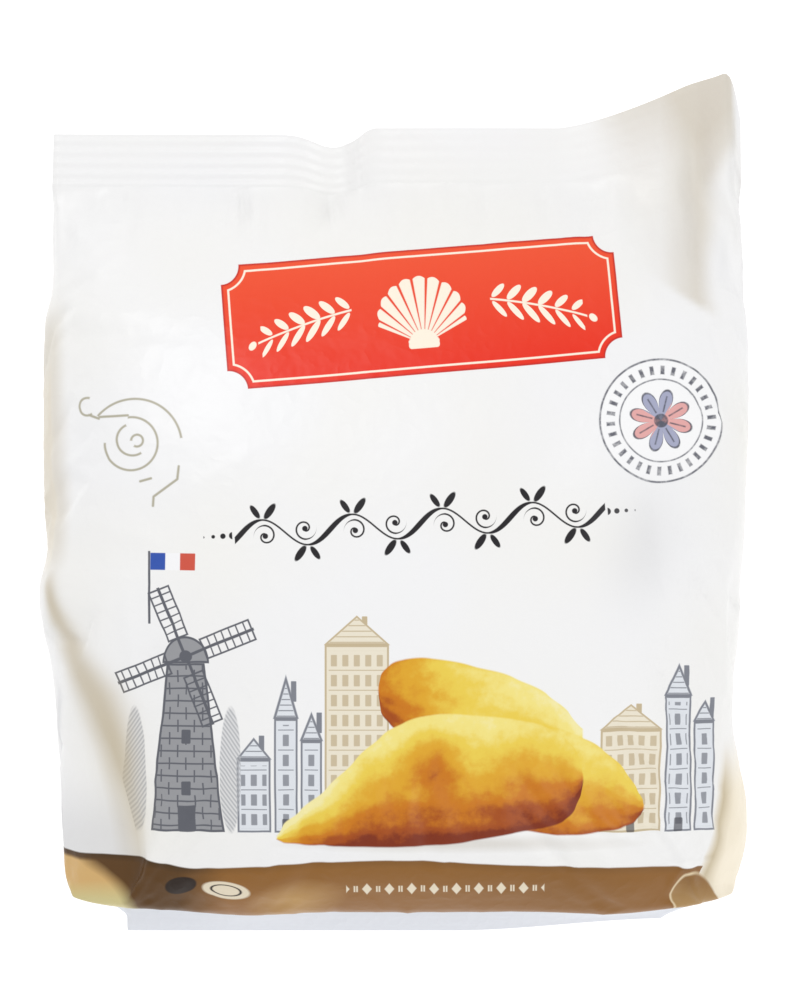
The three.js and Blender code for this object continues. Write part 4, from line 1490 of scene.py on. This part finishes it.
def makeFilm(name, chosen, groups):
    look = filmLook
    material = newMaterial(name)
    tree = material.node_tree
    printMap, ringMap, creamAndShadeMap, paintedShadeMap = [
        Field(addNode(tree, "ShaderNodeUVMap", uv_map=uvMap).outputs[0])
        for uvMap in ("filmPrint", "filmRing", "filmCreamAndShade", "filmPaintedShade")
    ]
    point = printMap * (printSpan, printSpan, 0) - (printSpan / 2, 0, 0)
    x, u, _ = parts(point)
    outShare, ring, _ = parts(ringMap)
    out = outShare * outSpan - outSpan * outStart
    onFilm = Field(addNode(tree, "ShaderNodeTexCoord").outputs["Object"]) * (1000, 1000, 1000)

    def addPrint(printName, under):
        values = {"Under": under, "Point": point}
        return Field(addNode(tree, "ShaderNodeGroup", values, node_tree=groups[printName]).outputs["Colour"])

    mottle = fade(noise(onFilm, look["mottleScale"], 1), *look["mottle"])
    colour = cover(look["white"], look["warm"], mottle)
    for printName in chosen:
        colour = addPrint(printName, colour)
    # the darker cream carries painted shade along the creases, the raised corner and the left edge
    shade, light, _ = parts(creamAndShadeMap)
    # painted shade in soft grey on the folds and edges
    grey, _, _ = parts(paintedShadeMap)
    colour = layered(colour, (look["grey"], grey), (look["cream"], light), (look["creamAndShade"], shade))

    # the gold-brown band runs round the bag, apart from the right gusset
    top, foot, scale = look["bandTop"], look["bandFoot"], look["bandScale"]
    band = stroke(ring - (top + foot) / 2, (top - foot) / 2) * scale
    # it darkens towards the left, it darkens along its edges as painted shade, and one lighter patch is a
    # painted sheen
    leftward, nearEdge = fade(x, *look["darkLeft"]), fade(band, *look["edgeShade"])
    sheenPatch = fade(lengthOf(placed(point, *look["bandSheenPatch"])), 1, 0)
    gold = cover(look["band"], look["bandLit"], sheenPatch * 0.6)
    gold = cover(gold, look["bandDark"], most(leftward, nearEdge * 0.3 + mottle * 0.2))
    if chosen:
        gold = addPrint("bandMarks", gold)
    else:
        start, end = look["rightGap"]
        band = most(band, least(x - start, end - out))
    if not chosen or "mill" in chosen:
        # painted light: the folded bottom corner at the left, where the band turns onto the gusset, is
        # painted lighter, and paler downwards, as if lit
        under = (top - ring) * scale
        _, turned, _ = parts(placed(point, *look["paintedLitCorner"]))
        paintedLitGold = cover(look["bandLit"], look["bandPale"], fade(u, *look["paleFade"]))
        rim = fade(abs(under - look["rimMiddle"]), *look["rimFade"])
        paintedLitMask = ink(turned, 3.4) * fade(under, *look["goldFade"])
        gold = layered(gold, (paintedLitGold, paintedLitMask), (look["bandRim"], rim * leftward))
    colour = cover(colour, gold, ink(band, 0.4))
    if "cakes" in chosen:
        colour = addPrint("foldedCorner", colour)
    if not chosen:
        onSide = ink(out - look["cornerReach"], 4)
        colour = cover(colour, addPrint("foldedCorner", colour), onSide)
    # painted shade: the fin below the band is a cooler, darker white, as if in shade
    colour = cover(colour, look["finPaintedShade"], fade(ring, foot, foot - 0.0025))

    values = {"Point": onFilm, "Size": look["crinkleSize"]}
    crinkle = addNode(tree, "ShaderNodeGroup", values, node_tree=groups["crinkle"])
    height = Field(crinkle.outputs["Height"])
    bump = addNode(tree, "ShaderNodeBump", {"Strength": 1, "Distance": mm, "Height": height})
    setShader(material, {
        "Base Color": colour, "Roughness": mottle * 0.1 + (look["roughness"] - 0.05),
        "Normal": Field(bump.outputs[0]), "IOR": look["ior"],
        "Coat Weight": look["coat"], "Coat Roughness": look["coatRoughness"],
    })
    return material


def printFilm(bag):
    groups = makeGroups()
    mesh = bag.data
    mesh.materials.append(makeFilm("filmPlain", [], groups))
    for name, zone in zones.items():
        mesh.materials.append(makeFilm(name, zone[4], groups))
    layer = mesh.uv_layers["filmPrint"]
    places = np.empty(len(mesh.loops) * 2, np.float32)
    layer.data.foreach_get("uv", places)
    starts = np.empty(len(mesh.polygons), np.int32)
    mesh.polygons.foreach_get("loop_start", starts)
    first, third = places.reshape(-1, 2)[starts], places.reshape(-1, 2)[starts + 2]
    x, u = ((first + third) / 2 * printSpan - (printSpan / 2, 0)).T
    rows, columns = len(rowPlaces(fineGrid)), fineGrid["front"] * 2 + fineGrid["gusset"] * 4
    face = np.arange(len(mesh.polygons))
    onFront = (face % columns < fineGrid["front"]) & (face < (rows - 1) * columns)
    index = np.zeros(len(face), np.int32)
    for number, (lowX, highX, lowU, highU, _) in enumerate(zones.values(), 1):
        index[onFront & (x >= lowX) & (x < highX) & (u >= lowU) & (u < highU)] = number
    mesh.polygons.foreach_set("material_index", index)


floorLook = {
    "half": 3.0,
    "drop": 0.0004,  # keeps the floor clear of the bag's pressed back
    "colour": tint(128, 128, 128), "glow": 1.0, "roughness": 0.7, "specular": 0.2,
}


def makeFloor():
    half, drop = floorLook["half"], floorLook["drop"]
    mesh = bpy.data.meshes.new("floor")
    corners = [(x * half, y * half, -drop) for x, y in ((-1, -1), (1, -1), (1, 1), (-1, 1))]
    mesh.from_pydata(corners, [], [(0, 1, 2, 3)])
    floor = addObject("floor", mesh)
    material = newMaterial("paleFloor")
    setShader(material, {
        "Base Color": floorLook["colour"], "Roughness": floorLook["roughness"],
        "Specular IOR Level": floorLook["specular"],
        "Emission Color": (1, 1, 1, 1), "Emission Strength": floorLook["glow"],
    })
    mesh.materials.append(material)


bag = buildBag()
printFilm(bag)
report("film printed")
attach(bag, "root")
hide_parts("bag")
makeFloor()
